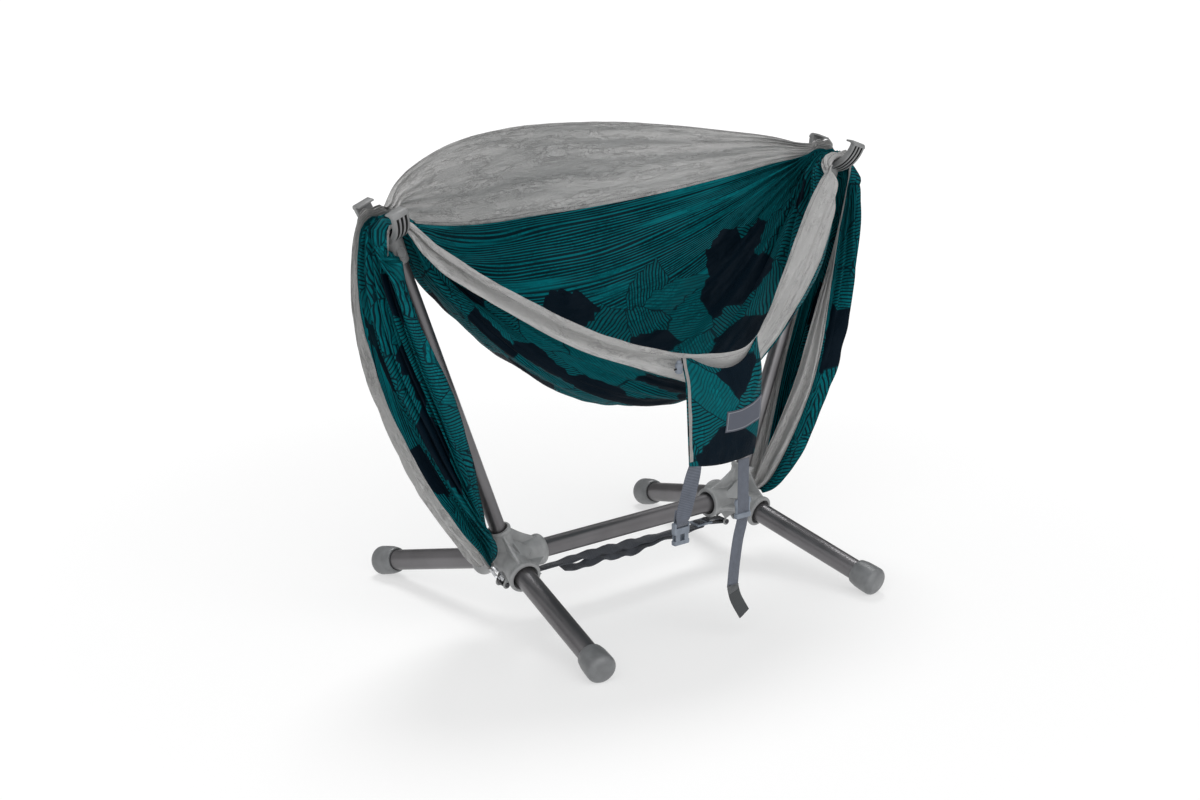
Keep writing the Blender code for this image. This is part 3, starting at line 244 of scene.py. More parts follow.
# The hubs: injection-moulded, glass-filled nylon, one each side, with four flared sockets.
# Thin webs brace the sockets against each other and two pairs of lugs hang below for the webbing.
HUB_SPACING, HUB_HEIGHT = 0.540, 0.11533
UPRIGHT_LEAN, LEG_SPLAY, LEG_SLOPE = radians(20.7), radians(9.0), radians(15.1)
HUB_CORE_R, SOCKET_FLOOR = 0.030, 0.026
NYLON_GREY, GROOVE_SHADE = (0.232, 0.236, 0.238), (0.012, 0.012, 0.013)
WEB_THICK, WEB_HOLLOW, GUSSET_SHARE, NECK_SHARE = 0.0058, 0.90, 0.74, 0.84
LUG_THICK, LUG_ROUND_R, LUG_SIDE_GAP = 0.004, 0.0075, 0.0006
PIN_D, FIT = 0.006, 0.0003
ANCHOR_WEB_W, BASE_WEB_W = 0.017, 0.0195
ANCHOR_PIN_OUT, ANCHOR_PIN_DROP, STRAP_PIN_IN, STRAP_PIN_DROP = 0.013, 0.0465, 0.030, 0.042
LEG_TUBE_D, BAR_TUBE_D, UPRIGHT_TUBE_D = 0.038, 0.035, 0.0285
MOULD_VOXEL, FILLET_PASSES = 0.0012, 7


def moulded_nylon(name, tone):
    """Grey moulded nylon: a fine eroded texture, faint flow marks, a dull sheen and painted shade in its
    grooves.
    """
    nylon = Finish(name, specular_ior_level=0.45)
    where = nylon.place()
    body = nylon.shades(nylon.noise(where, 34.0, 3.0).ramp(0.3, 0.7), NYLON_GREY, 0.90 * tone, 1.14 * tone)
    # Painted shade: a mesh attribute marks the grooves, and there the colour darkens towards GROOVE_SHADE.
    groove = nylon.node("ShaderNodeAttribute", {"attribute_name": "groove"}, out=2)
    nylon.colour(nylon.mix(groove * 0.88, body, GROOVE_SHADE))
    nylon.roughness(nylon.noise(where, 160.0).ramp(0.2, 0.8, 0.38, 0.50))
    nylon.relief(nylon.noise(where, 900.0, 3.0) * 0.6 + nylon.noise(where, 240.0) * 0.4, 0.00025)
    return nylon


nylon_finish = moulded_nylon("moulded_nylon", 1.22)


def hub_centre(side):
    return Vector((side * HUB_SPACING / 2, 0, HUB_HEIGHT))


def upright_axis(side):
    return Vector((side * sin(UPRIGHT_LEAN), 0, cos(UPRIGHT_LEAN)))


def leg_axis(side, end):
    flat = cos(LEG_SLOPE)
    return Vector((side * sin(LEG_SPLAY) * flat, end * cos(LEG_SPLAY) * flat, -sin(LEG_SLOPE)))


def anchor_pin(side):
    return hub_centre(side) + Vector((side * ANCHOR_PIN_OUT, 0, -ANCHOR_PIN_DROP))


def strap_pin(side):
    return hub_centre(side) + Vector((-side * STRAP_PIN_IN, 0, -STRAP_PIN_DROP))


def along(origin, direction):
    return Matrix.Translation(origin) @ direction.to_track_quat("Z", "Y").to_matrix().to_4x4()


def turn_profile(bm, profile, matrix, steps=56):
    """Spins a profile of (radius, height) points about the local Z axis into a closed shell."""
    points = [bm.verts.new((radius, 0.0, height)) for radius, height in profile]
    edges = [bm.edges.new(pair) for pair in zip(points, points[1:])]
    if profile[0][0] > 0:
        edges.append(bm.edges.new((points[-1], points[0])))
    before = set(bm.verts) - set(points)
    bmesh.ops.spin(bm, geom=points + edges, cent=(0, 0, 0), axis=(0, 0, 1), angle=2 * pi, steps=steps,
                   use_merge=True)
    fresh = [v for v in bm.verts if v not in before]
    bmesh.ops.remove_doubles(bm, verts=fresh, dist=0.000005)
    fresh = [v for v in bm.verts if v not in before]
    bmesh.ops.transform(bm, matrix=matrix, verts=fresh)


def extrude_outline(bm, outline, thickness, matrix):
    """A plate from an outline in its local XY plane, centred on that plane."""
    face = bm.faces.new([bm.verts.new((x, y, -thickness / 2)) for x, y in outline])
    grown = bmesh.ops.extrude_face_region(bm, geom=[face])["geom"]
    top = [item for item in grown if isinstance(item, bmesh.types.BMVert)]
    bmesh.ops.translate(bm, verts=top, vec=(0, 0, thickness))
    bmesh.ops.transform(bm, matrix=matrix, verts=top + list(face.verts))


def square_to(axis, towards):
    return (towards - axis * axis.dot(towards)).normalized()


def brace(bm, centre, first, second, thickness):
    """A web in the plane of two sockets, with a hollowed outer edge."""
    (axis_a, reach_a, radius_a), (axis_b, reach_b, radius_b) = first, second
    flank_a = square_to(axis_a, axis_b)
    flank_b = square_to(axis_b, axis_a)
    rim_b = axis_b * reach_b + flank_b * radius_b
    corner_a = Vector((reach_a, radius_a))
    corner_b = Vector((rim_b.dot(axis_a), rim_b.dot(flank_a)))
    end_b = Vector((reach_b * axis_b.dot(axis_a), reach_b * axis_b.dot(flank_a)))
    pull = (corner_a + corner_b) / 2 * WEB_HOLLOW
    outline = [Vector((0, 0)), Vector((reach_a, 0))]
    for k in range(13):
        t = k / 12
        outline.append(corner_a * (1 - t) ** 2 + pull * 2 * t * (1 - t) + corner_b * t * t)
    outline.append(end_b)
    turn = Matrix((axis_a, flank_a, axis_a.cross(flank_a))).transposed().to_4x4()
    extrude_outline(bm, outline, thickness, Matrix.Translation(centre) @ turn)


def gusset(bm, centre, arms):
    """Fills the hollow between three sockets: a hull from the core to a spot on the flank of each."""
    points = [centre]
    for axis, reach, radius in arms:
        others = sum((other for other, _, _ in arms if other != axis), Vector())
        points.append(centre + (axis * reach + square_to(axis, others) * radius) * GUSSET_SHARE)
    bmesh.ops.convex_hull(bm, input=[bm.verts.new(point) for point in points])


def lug_pair(bm, centre, pin, shoulders, web_width):
    """Two plates from the hub's core down to a round end about the pin."""
    reach = pin - centre
    start = reach.normalized()
    outline = [shoulders[0]]
    for k in range(15):
        turn = pi * (0.5 - k / 14)
        outline.append((reach.x + LUG_ROUND_R * (start.x * cos(turn) - start.z * sin(turn)),
                        reach.z + LUG_ROUND_R * (start.x * sin(turn) + start.z * cos(turn))))
    outline += [shoulders[1], (0, 0)]
    for end in (-1, 1):
        middle = centre + Y * end * (web_width / 2 + LUG_SIDE_GAP + LUG_THICK / 2)
        extrude_outline(bm, outline, LUG_THICK, Matrix.Translation(middle) @ Matrix.Rotation(pi / 2, 4, "X"))


def settled(made):
    """Applies an object's modifiers to its mesh."""
    bpy.context.view_layer.update()
    shaped = bpy.data.meshes.new_from_object(made.evaluated_get(bpy.context.evaluated_depsgraph_get()))
    made.modifiers.clear()
    made.data = shaped


for word, side in SIDES:
    centre = hub_centre(side)
    mould, bores = bmesh.new(), bmesh.new()
    bmesh.ops.create_uvsphere(mould, u_segments=48, v_segments=24, radius=HUB_CORE_R,
                              matrix=Matrix.Translation(centre))
    reach = {}
    for label, axis, mouth, radius, tube_d, flare_r in (
            ("upright", upright_axis(side), 0.064, 0.0205, UPRIGHT_TUBE_D, 0.0178),
            ("bar", X * -side, 0.070, 0.0268, BAR_TUBE_D, 0.0222),
            ("front", leg_axis(side, -1), 0.068, 0.0285, LEG_TUBE_D, 0.0243),
            ("back", leg_axis(side, 1), 0.068, 0.0285, LEG_TUBE_D, 0.0243)):
        neck, bore, lie = radius * NECK_SHARE, tube_d / 2 + FIT, along(centre, axis)
        turn_profile(mould, [(0, mouth), (radius + 0.0004, mouth), (radius + 0.0018, mouth - 0.0012),
                             (radius + 0.0018, mouth - 0.0062), (radius - 0.0004, mouth - 0.0095),
                             (neck, SOCKET_FLOOR), (neck, 0), (0, 0)], lie)
        turn_profile(bores, [(0, mouth + 0.012), (flare_r + 0.0006, mouth + 0.012), (flare_r, mouth - 0.0016),
                             (bore, mouth - 0.022), (bore, SOCKET_FLOOR), (0, SOCKET_FLOOR)], lie)
        reach[label] = (axis, mouth - 0.0075, radius - 0.001)
    for first, second in (("upright", "front"), ("upright", "back"), ("upright", "bar"),
                          ("bar", "front"), ("bar", "back")):
        brace(mould, centre, reach[first], reach[second], WEB_THICK)
    for end_word, _ in ENDS:
        gusset(mould, centre, (reach["upright"], reach["bar"], reach[end_word]))
    for pin, shoulders, web_width in (
            (anchor_pin(side), ((-side * 0.012, -0.026), (side * 0.013, -0.0255)), ANCHOR_WEB_W),
            (strap_pin(side), ((side * 0.004, -0.024), (-side * 0.046, -0.018)), BASE_WEB_W)):
        lug_pair(mould, centre, pin, shoulders[::-side], web_width)
    hub = shell_object(word + "_hub_moulding", mould, nylon_finish)
    skin = hub.modifiers.new("one_skin", "REMESH")
    skin.mode = "VOXEL"
    skin.voxel_size = MOULD_VOXEL
    ease = hub.modifiers.new("fillets", "SMOOTH")
    ease.iterations = FILLET_PASSES
    ease.factor = 0.5
    settled(hub)
    for pin in (anchor_pin(side), strap_pin(side)):
        hole = PIN_D / 2 + FIT
        turn_profile(bores, [(0, 0.03), (hole, 0.03), (hole, -0.03), (0, -0.03)], along(pin, Y), 20)
    cutter = shell_object(word + "_bores", bores, nylon_finish)
    cut = hub.modifiers.new("bores", "BOOLEAN")
    cut.object = cutter
    cut.operation = "DIFFERENCE"
    cut.solver = "EXACT"
    cut.use_self = True
    settled(hub)
    bpy.data.objects.remove(cutter, do_unlink=True)
    hub.data.shade_smooth()
    hub.data.set_sharp_from_angle(angle=radians(38))
    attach(hub, "stand")
    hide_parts(word + "_hub")


# The poles: drawn aluminium tube with a dark gunmetal anodised skin, satin to the eye.
# Spreader bar and uprights stay with the stand, and each leg pulls straight out of its hub.
TUBE_WALL, LEG_REACH, UPRIGHT_REACH, YOKE_BORE_TOP = 0.0016, 0.347, 0.713, -0.065
GUNMETAL = (0.165, 0.160, 0.166)

tube_finish = Finish("gunmetal_anodised_tube", metallic=0.75, specular_ior_level=0.5)
where = tube_finish.place()
cloudy = tube_finish.noise(where, 9.0, 3.0).ramp(0.3, 0.7)
tube_finish.colour(tube_finish.shades(cloudy, GUNMETAL, 0.86, 1.12))
tube_finish.roughness(tube_finish.noise(where, 40.0, 2.0).ramp(0.3, 0.75, 0.33, 0.38))


def pole(name, lie, start, end, diameter, body):
    bm = bmesh.new()
    outer, inner, ease = diameter / 2, diameter / 2 - TUBE_WALL, 0.0004
    turn_profile(bm, [(outer, end - ease), (outer, start + ease), (outer - ease, start), (inner, start),
                      (inner, end), (outer - ease, end)], lie, 72)
    made = shell_object(name + "_tube", bm, tube_finish)
    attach(made, body)
    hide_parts(name)


bar_end = HUB_SPACING / 2 - SOCKET_FLOOR - FIT
pole("spreader_bar", along(Vector((0, 0, HUB_HEIGHT)), X), -bar_end, bar_end, BAR_TUBE_D, "stand")
for word, side in SIDES:
    pole(word + "_upright", along(hub_centre(side), upright_axis(side)), SOCKET_FLOOR + FIT,
         UPRIGHT_REACH + YOKE_BORE_TOP - FIT, UPRIGHT_TUBE_D, "stand")
    for end_word, end in ENDS:
        leg, lie = f"{end_word}_{word}_leg", along(hub_centre(side), leg_axis(side, end))
        pole(leg, lie, SOCKET_FLOOR + FIT, LEG_REACH, LEG_TUBE_D, leg)


# The foot caps: grey moulded rubber cups pushed over the leg tubes, with a rounded nose.
# Each stands on a small flat where its nose meets the ground.
CAP_D, CAP_LENGTH, CAP_END_WALL, CAP_CORNER_R = 0.054, 0.052, 0.009, 0.012
RUBBER_GREY = (0.165, 0.171, 0.176)

rubber_finish = Finish("moulded_rubber", specular_ior_level=0.5)
where = rubber_finish.place()
patchy = rubber_finish.noise(where, 60.0, 3.0).ramp(0.3, 0.7)
rubber_finish.colour(rubber_finish.shades(patchy, RUBBER_GREY, 0.9, 1.1))
rubber_finish.roughness(rubber_finish.noise(where, 200.0).ramp(0.3, 0.7, 0.33, 0.44))
rubber_finish.relief(rubber_finish.noise(where, 900.0, 3.0), 0.00010)

bore = LEG_TUBE_D / 2 + FIT
cap_start = LEG_REACH + CAP_END_WALL - CAP_LENGTH
cap_end = cap_start + CAP_LENGTH
cap_profile = [(0, cap_end + 0.0012), (0.006, cap_end + 0.0010)]
for k in range(10):
    turn = pi / 2 * (1 - k / 9)
    cap_profile.append((CAP_D / 2 - CAP_CORNER_R + CAP_CORNER_R * cos(turn),
                        cap_end - CAP_CORNER_R + CAP_CORNER_R * sin(turn)))
for inset, rise in ((0.0003, 0.026), (0.0010, 0.014), (0.0026, 0.0055), (0.0034, 0.0022), (0.0046, 0.0004),
                    (0.0058, 0)):
    cap_profile.append((CAP_D / 2 - inset, cap_start + rise))
cap_profile += [(bore + 0.0010, cap_start), (bore, cap_start + 0.0010), (bore, LEG_REACH + FIT),
                (0, LEG_REACH + FIT)]
for word, side in SIDES:
    for end_word, end in ENDS:
        bm = bmesh.new()
        turn_profile(bm, cap_profile, along(hub_centre(side), leg_axis(side, end)), 72)
        bmesh.ops.recalc_face_normals(bm, faces=bm.faces)
        bmesh.ops.bisect_plane(bm, geom=bm.verts[:] + bm.edges[:] + bm.faces[:], plane_co=(0, 0, 0),
                               plane_no=(0, 0, -1), clear_outer=True)
        bmesh.ops.holes_fill(bm, edges=[e for e in bm.edges if e.is_boundary])
        cap = made_object(f"{end_word}_{word}_cap", bm, rubber_finish)
        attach(cap, f"{end_word}_{word}_leg")
        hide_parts(f"{end_word}_{word}_foot")


# The yokes: moulded nylon crescents plugged on the uprights, ribbed on their outer face.
# A thin lip at each horn points inward and keeps the gathered cloth in the saddle.
SADDLE_R, YOKE_OUTER_R, YOKE_BAND = 0.050, 0.061, 0.030
YOKE_TIP_CUT = radians(6)
GROOVE_DEPTH, GROOVE_WIDTH, GROOVE_PITCH = 0.0066, 0.0046, 0.0082
LIP_REACH, LIP_THICK, TIP_BLOCK = 0.0115, 0.0030, 0.0068
YOKE_SOCKET_R, YOKE_SOCKET_TOP_R, YOKE_SOCKET_LENGTH = 0.0172, 0.0185, 0.043

yoke_finish = moulded_nylon("yoke_nylon", 0.88)


def yoke_frame(side):
    tip = hub_centre(side) + upright_axis(side) * UPRIGHT_REACH
    return Matrix.Translation(tip) @ Matrix.Rotation(side * UPRIGHT_LEAN, 4, "Y")


def mirrored(points):
    return [(-x, r) for x, r in reversed(points)]


half, inner, outer = YOKE_BAND / 2, SADDLE_R - LIP_REACH, YOKE_OUTER_R
shoulder = [(half - 0.0012, outer), (half - 0.0004, outer - 0.0004), (half, outer - 0.0012)]
cradle = [(half, SADDLE_R + 0.0016), (half - 0.0006, SADDLE_R + 0.0009), (half * 0.6, SADDLE_R + 0.0003)]
groove_half = [(0.42, GROOVE_DEPTH), (0.48, 0.0010), (0.5, 0)]
grooves = [(middle + across * GROOVE_WIDTH, outer - depth) for middle in (-GROOVE_PITCH, 0.0, GROOVE_PITCH)
           for across, depth in mirrored(groove_half) + groove_half]
band_outline = mirrored(shoulder) + grooves + shoulder + cradle + [(0, SADDLE_R)] + mirrored(cradle)
tip_outline = [(inner + 0.0003, 0.0002 - LIP_THICK), (inner - 0.0006, -LIP_THICK * 0.75),
               (inner - 0.0008, -LIP_THICK * 0.4), (inner - 0.0004, 0.0002), (inner + 0.0004, 0.0007),
               (outer - 0.0066, 0.0008), (outer - 0.0040, 0.0002), (outer - 0.0021, -0.0010),
               (outer - 0.0007, -0.0028), (outer + 0.0003, -0.0052), (outer + 0.0004, -TIP_BLOCK - 0.0014),
               (SADDLE_R + 0.0022, -TIP_BLOCK), (SADDLE_R - 0.0004, -LIP_THICK - 0.0018),
               (SADDLE_R - 0.0014, -LIP_THICK - 0.0006), (SADDLE_R - 0.0032, -LIP_THICK)]
bore, foot = UPRIGHT_TUBE_D / 2 + FIT, -outer - YOKE_SOCKET_LENGTH
socket_profile = [(0, -SADDLE_R - 0.0030), (YOKE_SOCKET_R * 0.8, -SADDLE_R - 0.0030),
                  (YOKE_SOCKET_R, -SADDLE_R - 0.0060), (YOKE_SOCKET_TOP_R, -outer - 0.002),
                  (YOKE_SOCKET_TOP_R, -outer - 0.008), (YOKE_SOCKET_R + 0.0006, foot + 0.014),
                  (YOKE_SOCKET_R, foot + 0.0012), (YOKE_SOCKET_R - 0.0010, foot), (bore, foot),
                  (bore, YOKE_BORE_TOP), (0, YOKE_BORE_TOP)]
boss_profile = [(0, 0.0010), (0.0052, 0.0010), (0.0058, 0.0022), (0.0076, 0.0024), (0.0084, 0.0014),
                (0.0086, -0.002), (0, -0.002)]
for word, side in SIDES:
    lie = yoke_frame(side)
    bm = bmesh.new()
    loop = [bm.verts.new((x, r, 0)) for x, r in band_outline]
    edges = [bm.edges.new((a, b)) for a, b in zip(loop, loop[1:] + loop[:1])]
    bmesh.ops.rotate(bm, verts=loop, cent=(0, 0, 0), matrix=Matrix.Rotation(-YOKE_TIP_CUT, 3, "X"))
    bmesh.ops.spin(bm, geom=loop + edges, cent=(0, 0, 0), axis=(-1, 0, 0), angle=pi - 2 * YOKE_TIP_CUT,
                   steps=64)
    bmesh.ops.holes_fill(bm, edges=[e for e in bm.edges if e.is_boundary])
    bmesh.ops.transform(bm, matrix=lie, verts=bm.verts)
    for end in (-1, 1):
        tip = bmesh.new()
        extrude_outline(tip, tip_outline, YOKE_BAND + 0.0012, Matrix.Identity(4))
        rims = [e for e in tip.edges if abs(e.verts[0].co.z - e.verts[1].co.z) < 1e-6]
        bmesh.ops.bevel(tip, geom=rims, offset=0.0008, segments=2, profile=0.5, affect="EDGES", material=-1)
        upright_lie = lie @ Matrix(((0, 0, end), (end, 0, 0), (0, 1, 0))).to_4x4()
        bmesh.ops.transform(tip, matrix=upright_lie, verts=tip.verts)
        part = bpy.data.meshes.new("tip")
        tip.to_mesh(part)
        tip.free()
        bm.from_mesh(part)
        bpy.data.meshes.remove(part)
    turn_profile(bm, socket_profile, lie)
    for end in (-1, 1):
        boss = Matrix.Translation((0, end * (YOKE_SOCKET_R - 0.0006), foot + 0.021))
        boss = boss @ Matrix.Rotation(-end * pi / 2, 4, "X") @ Matrix.Diagonal((1.0, 1.45, 1.0, 1.0))
        turn_profile(bm, boss_profile, lie @ boss, 40)
    yoke = shell_object(word + "_yoke_moulding", bm, yoke_finish)
    # Marks the vertices on the grooves' floors, where the material paints its shade.
    shade = yoke.data.attributes.new("groove", "FLOAT", "POINT")
    for vertex, value in zip(yoke.data.vertices, shade.data):
        p = lie.inverted() @ vertex.co
        in_groove = min(abs(p.x), abs(abs(p.x) - GROOVE_PITCH)) < GROOVE_WIDTH * 0.49
        depth = YOKE_OUTER_R - sqrt(p.y ** 2 + p.z ** 2)
        value.value = in_groove and abs(p.y) > YOKE_SOCKET_TOP_R and 0.0008 < depth < GROOVE_DEPTH + 0.0003
    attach(yoke, "stand")
    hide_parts(word + "_yoke")


# Pins, carabiners and gates: blackened steel pins, and bent wire of bright stainless steel.
# The pins cross the hub's lugs, and each carabiner hangs in its webbing loop and holds the end cord.
steel_finish = Finish("bright_steel", metallic=1.0, base_color=(0.62, 0.63, 0.65))
steel_finish.roughness(steel_finish.noise(steel_finish.place(), 300.0, 3.0).ramp(0.3, 0.7, 0.16, 0.3))
pin_finish = Finish("blackened_steel", metallic=0.9, base_color=(0.06, 0.06, 0.065), roughness=0.35)


def refinish(finish, *nodes):
    """Gives kept CAD nodes a material of the scene's own."""
    for node in nodes:
        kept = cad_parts[node].data.materials
        kept.clear()
        kept.append(finish.material)


for word, _ in SIDES:
    refinish(pin_finish, word + "_anchor_pin", word + "_strap_pin")
    refinish(steel_finish, word + "_carabiner", word + "_gate")


def chain_axis(side):
    return Vector((side * 0.56, 0, 0.828)).normalized()


def chain_frame(side):
    way = chain_axis(side)
    start = anchor_pin(side) + way * 0.011
    return Matrix.Translation(start) @ Matrix((way, Y, way.cross(Y))).transposed().to_4x4()


# Webbing loops, straps and cords that tie the hammock to the stand.
# Woven polyester webbing, doubled and sewn, and a braided cord through each gathered end of the cloth.
WEB_BLACK, WEB_DARK_SLATE, WEB_SLATE = (0.020, 0.020, 0.024), (0.052, 0.058, 0.070), (0.112, 0.125, 0.155)
CORD_GREY = (0.26, 0.25, 0.24)


def map_flat(bm, spot, flat):
    """Makes the UV map: each corner's place on the flat piece, in metres."""
    uv = bm.loops.layers.uv.new("flat")
    for face in bm.faces:
        for corner in face.loops:
            s, t = spot[corner.vert]
            corner[uv].uv = (s * flat[0], t * flat[1])


def laid_grid(across, lengthwise, point, flat):
    """A grid whose every corner is put by point(s, t), with its flat size in metres as its UV map."""
    bm = bmesh.new()
    bmesh.ops.create_grid(bm, x_segments=across, y_segments=lengthwise, size=0.5)
    spot = {v: (v.co.x + 0.5, v.co.y + 0.5) for v in bm.verts}
    for vert, (s, t) in spot.items():
        vert.co = point(s, t)
    map_flat(bm, spot, flat)
    return bm


def woven_webbing(name, colour):
    """Woven webbing: herringbone ridges across the strap."""
    web = Finish(name, specular_ior_level=0.35, sheen_weight=0.25, sheen_roughness=0.4)
    where = web.place("UV")
    across, length, _ = web.split(where)
    picks = (length * 620.0 + (across * 400.0).zigzag() * 0.9).zigzag() * 2.0
    ribs = (across * 800.0).zigzag() * 2.0
    worn = web.noise(where, 90.0, 4.0)
    shade = (picks * 0.35 + ribs * 0.2 + worn * 0.6).ramp(0.15, 1.0)
    web.colour(web.shades(shade, colour, 0.62, 1.35))
    web.roughness(worn.ramp(0.3, 0.7, 0.67, 0.83))
    web.relief(picks * 0.7 + ribs * 0.3, 0.0004)
    return web


def eased(a, b, c, d, t):
    """The Catmull-Rom value between b and c, for vectors and for arrays alike."""
    return 0.5 * (2 * b + (c - a) * t + (2 * a - 5 * b + 4 * c - d) * t ** 2
                  + (3 * b - a - 3 * c + d) * t ** 3)


def smooth_path(points, per_span):
    """Points along one smooth curve through the given points."""
    points = [Vector(p) for p in points]
    ends = [2 * points[0] - points[1]] + points + [2 * points[-1] - points[-2]]
    path = [eased(*ends[i - 1:i + 3], k / per_span) for i in range(1, len(ends) - 2) for k in range(per_span)]
    return path + [points[-1]]


def thicken(made, thickness):
    wall = made.modifiers.new("thickness", "SOLIDIFY")
    wall.thickness = thickness
    wall.offset = 0.0


def strap(name, path, width, thick, finish, body, nodes, pinch=None, wave=0.0, twist=None,
          closed=False):
    """Flat webbing along a path, crowned and with rounded edges; pinch and twist go point by point."""
    run = [0.0]
    for a, b in zip(path, path[1:]):
        run.append(run[-1] + (b - a).length)
    last = len(path) - 1

    def point(s, t):
        i = round(t * last)
        ahead = path[(i + 1) % last if closed else min(i + 1, last)]
        behind = path[(i - 1) % last if closed else max(i - 1, 0)]
        way = (ahead - behind).normalized()
        side_way = square_to(way, width.normalized())
        if twist:
            side_way = Matrix.Rotation(twist[i], 3, way) @ side_way
        up = way.cross(side_way)
        share = pinch[i] if pinch else 1.0
        sway = wave * noise.noise(Vector((run[i] * 26.0, s * 1.3, 4.1)))
        curl = (0.25 - (s - 0.5) ** 2) * thick * 0.5
        return path[i] + side_way * (s - 0.5) * width.length * share + up * (sway + curl)

    made = shell_object(name, laid_grid(8, last, point, (width.length, run[-1])), finish)
    thicken(made, thick)
    ease = made.modifiers.new("rounded_edges", "BEVEL")
    ease.width = thick * 0.28
    ease.segments = 2
    ease.limit_method = "ANGLE"
    ease.angle_limit = radians(60)
    settled(made)
    made.data.shade_smooth()
    made.data.set_sharp_from_angle(angle=radians(50))
    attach(made, body)
    if nodes:
        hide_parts(*nodes)


def racetrack(centre_a, centre_b, radius, steps=14):
    """A closed path round two centres in the XZ plane, at one distance from both."""
    run = (centre_b - centre_a).normalized()
    side_way = Vector((-run.z, 0, run.x))
    path = []
    for centre, facing, flank in ((centre_b, run, side_way), (centre_a, -run, -side_way)):
        for k in range(steps + 1):
            turn = pi * k / steps - pi / 2
            path.append(centre + radius * (cos(turn) * facing + sin(turn) * flank))
    path.append(path[0].copy())
    return path


def cord_tube(name, path, radius, finish, body, nodes, closed=False):
    """A round cord along a path, with flat ends unless it closes into a ring."""
    curve = bpy.data.curves.new(name, "CURVE")
    curve.dimensions = "3D"
    spline = curve.splines.new("POLY")
    spline.points.add(len(path) - 1)
    for target, place in zip(spline.points, path):
        target.co = (*place, 1.0)
    spline.use_cyclic_u = closed
    curve.bevel_depth = radius
    curve.bevel_resolution = 4
    curve.use_fill_caps = not closed
    line = in_scene(name + "_line", curve)
    depsgraph = bpy.context.evaluated_depsgraph_get()
    bm = bmesh.new()
    bm.from_mesh(bpy.data.meshes.new_from_object(line.evaluated_get(depsgraph)))
    bpy.data.objects.remove(line, do_unlink=True)
    bmesh.ops.remove_doubles(bm, verts=bm.verts, dist=0.00001)
    made = shell_object(name, bm, finish)
    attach(made, body)
    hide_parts(*nodes)


def braided(name, colour):
    """Braided cord: small diamond plaits that follow the object's own place."""
    braid = Finish(name, roughness=0.8, specular_ior_level=0.3)
    x, y, z = braid.split(braid.place())
    plait = ((x + z) * 2600.0).sine() * ((z - x + y) * 2600.0).sine()
    braid.colour(braid.shades(plait.ramp(-0.6, 0.6), colour, 0.6, 1.25))
    braid.relief(plait, 0.0004)
    return braid


black_webbing = woven_webbing("black_webbing", WEB_BLACK)
slate_webbing = woven_webbing("slate_webbing", WEB_SLATE)
base_webbing = woven_webbing("base_webbing", WEB_DARK_SLATE)
grey_cord = braided("grey_braided_cord", CORD_GREY)
ANCHOR_WEB_T, BASE_WEB_T = 0.0018, 0.0016
ROD_D, END_CORD_D, CARABINER_SPAN, END_LOOP_SPAN = 0.0055, 0.0045, 0.038, 0.0075

for word, side in SIDES:
    bottom, top, far = (chain_frame(side) @ Vector((reach, 0, 0))
                        for reach in (0, CARABINER_SPAN, CARABINER_SPAN + END_LOOP_SPAN))
    loop = racetrack(anchor_pin(side), bottom, PIN_D / 2 + FIT + ANCHOR_WEB_T / 2)
    narrow = [0.53 if k <= len(loop) // 2 - 1 else 1.0 for k in range(len(loop))]
    strap(word + "_anchor_webbing", loop, Y * ANCHOR_WEB_W, ANCHOR_WEB_T, black_webbing, "stand",
          [word + "_anchor_loop"], pinch=narrow, closed=True)
    ring = racetrack(top, far, ROD_D / 2 + FIT + END_CORD_D / 2)
    cord_tube(word + "_end_cord", ring[:-1], END_CORD_D / 2, grey_cord, "stand",
              [word + "_end_loop"], closed=True)

# The base strap's route in the XZ plane: round the left pin, along to the ladder buckle, through its two
# openings round the middle bar, and back below itself as a slack tail.
left_pin, right_pin = strap_pin(-1), strap_pin(1)
wrap = PIN_D / 2 + FIT + BASE_WEB_T / 2
buckle_x, buckle_z, below, above = 0.185, 0.0795, -0.0036, 0.0036
THROUGH_BUCKLE = ((-0.022, below), (-0.0126, below), (-0.0108, -0.0024), (-0.0100, 0), (-0.0092, 0.0024),
                  (-0.0075, above), (-0.0015, above), (0.0004, 0.0024), (0.0012, 0), (0.0012, -0.0030),
                  (0.0002, -0.0056), (-0.0030, -0.0066), (-0.0200, -0.0070))
TAIL = ((0.130, -0.0120), (0.070, -0.0075), (0.010, -0.0130), (-0.060, -0.0080), (-0.110, -0.0150),
        (-0.150, -0.0120))
LOOSE_FROM, LOOSE_RUN, TURN, TURN_MORE, SCALLOPS = -0.205, 0.345, 34, 22, 131
route = [Vector((left_pin.x + 0.036, 0, left_pin.z - wrap + 0.0020)),
         Vector((left_pin.x + 0.012, 0, left_pin.z - wrap + 0.0004))]
for k in range(9):
    turn = -pi / 2 - pi * k / 8
    route.append(left_pin + wrap * Vector((cos(turn), 0, sin(turn))))
route += smooth_path([(left_pin.x + 0.012, 0, left_pin.z + wrap - 0.0002)]
                     + [(x, 0, buckle_z + below + z) for x, z in ((-0.12, 0.001), (0.0, -0.001), (0.10, 0))]
                     + [(buckle_x + x, 0, buckle_z + z) for x, z in THROUGH_BUCKLE]
                     + [(x, 0, buckle_z + z) for x, z in TAIL], 10)
slack = [sin(pi * min(max((p.x - LOOSE_FROM) / LOOSE_RUN, 0.0), 1.0)) ** 2 for p in route]
tail_from = next(i for i, p in enumerate(route) if i > 20 and p.z < buckle_z - 0.0069)
turned = []
for i, (p, loose) in enumerate(zip(route, slack)):
    in_tail = i >= tail_from
    turned.append(radians(TURN + TURN_MORE * sin(p.x * SCALLOPS)) * (-loose if in_tail else loose))
    p.y += loose * (-0.0045 if in_tail else 0.0040)
    p.z -= loose * (0.004 if in_tail else 0.0)
strap("base_strap_webbing", route, Y * BASE_WEB_W, BASE_WEB_T, base_webbing, "stand",
      ["base_strap"], wave=0.0022, twist=turned)
tie = racetrack(Vector((buckle_x + 0.0160, 0, buckle_z)), right_pin, wrap)
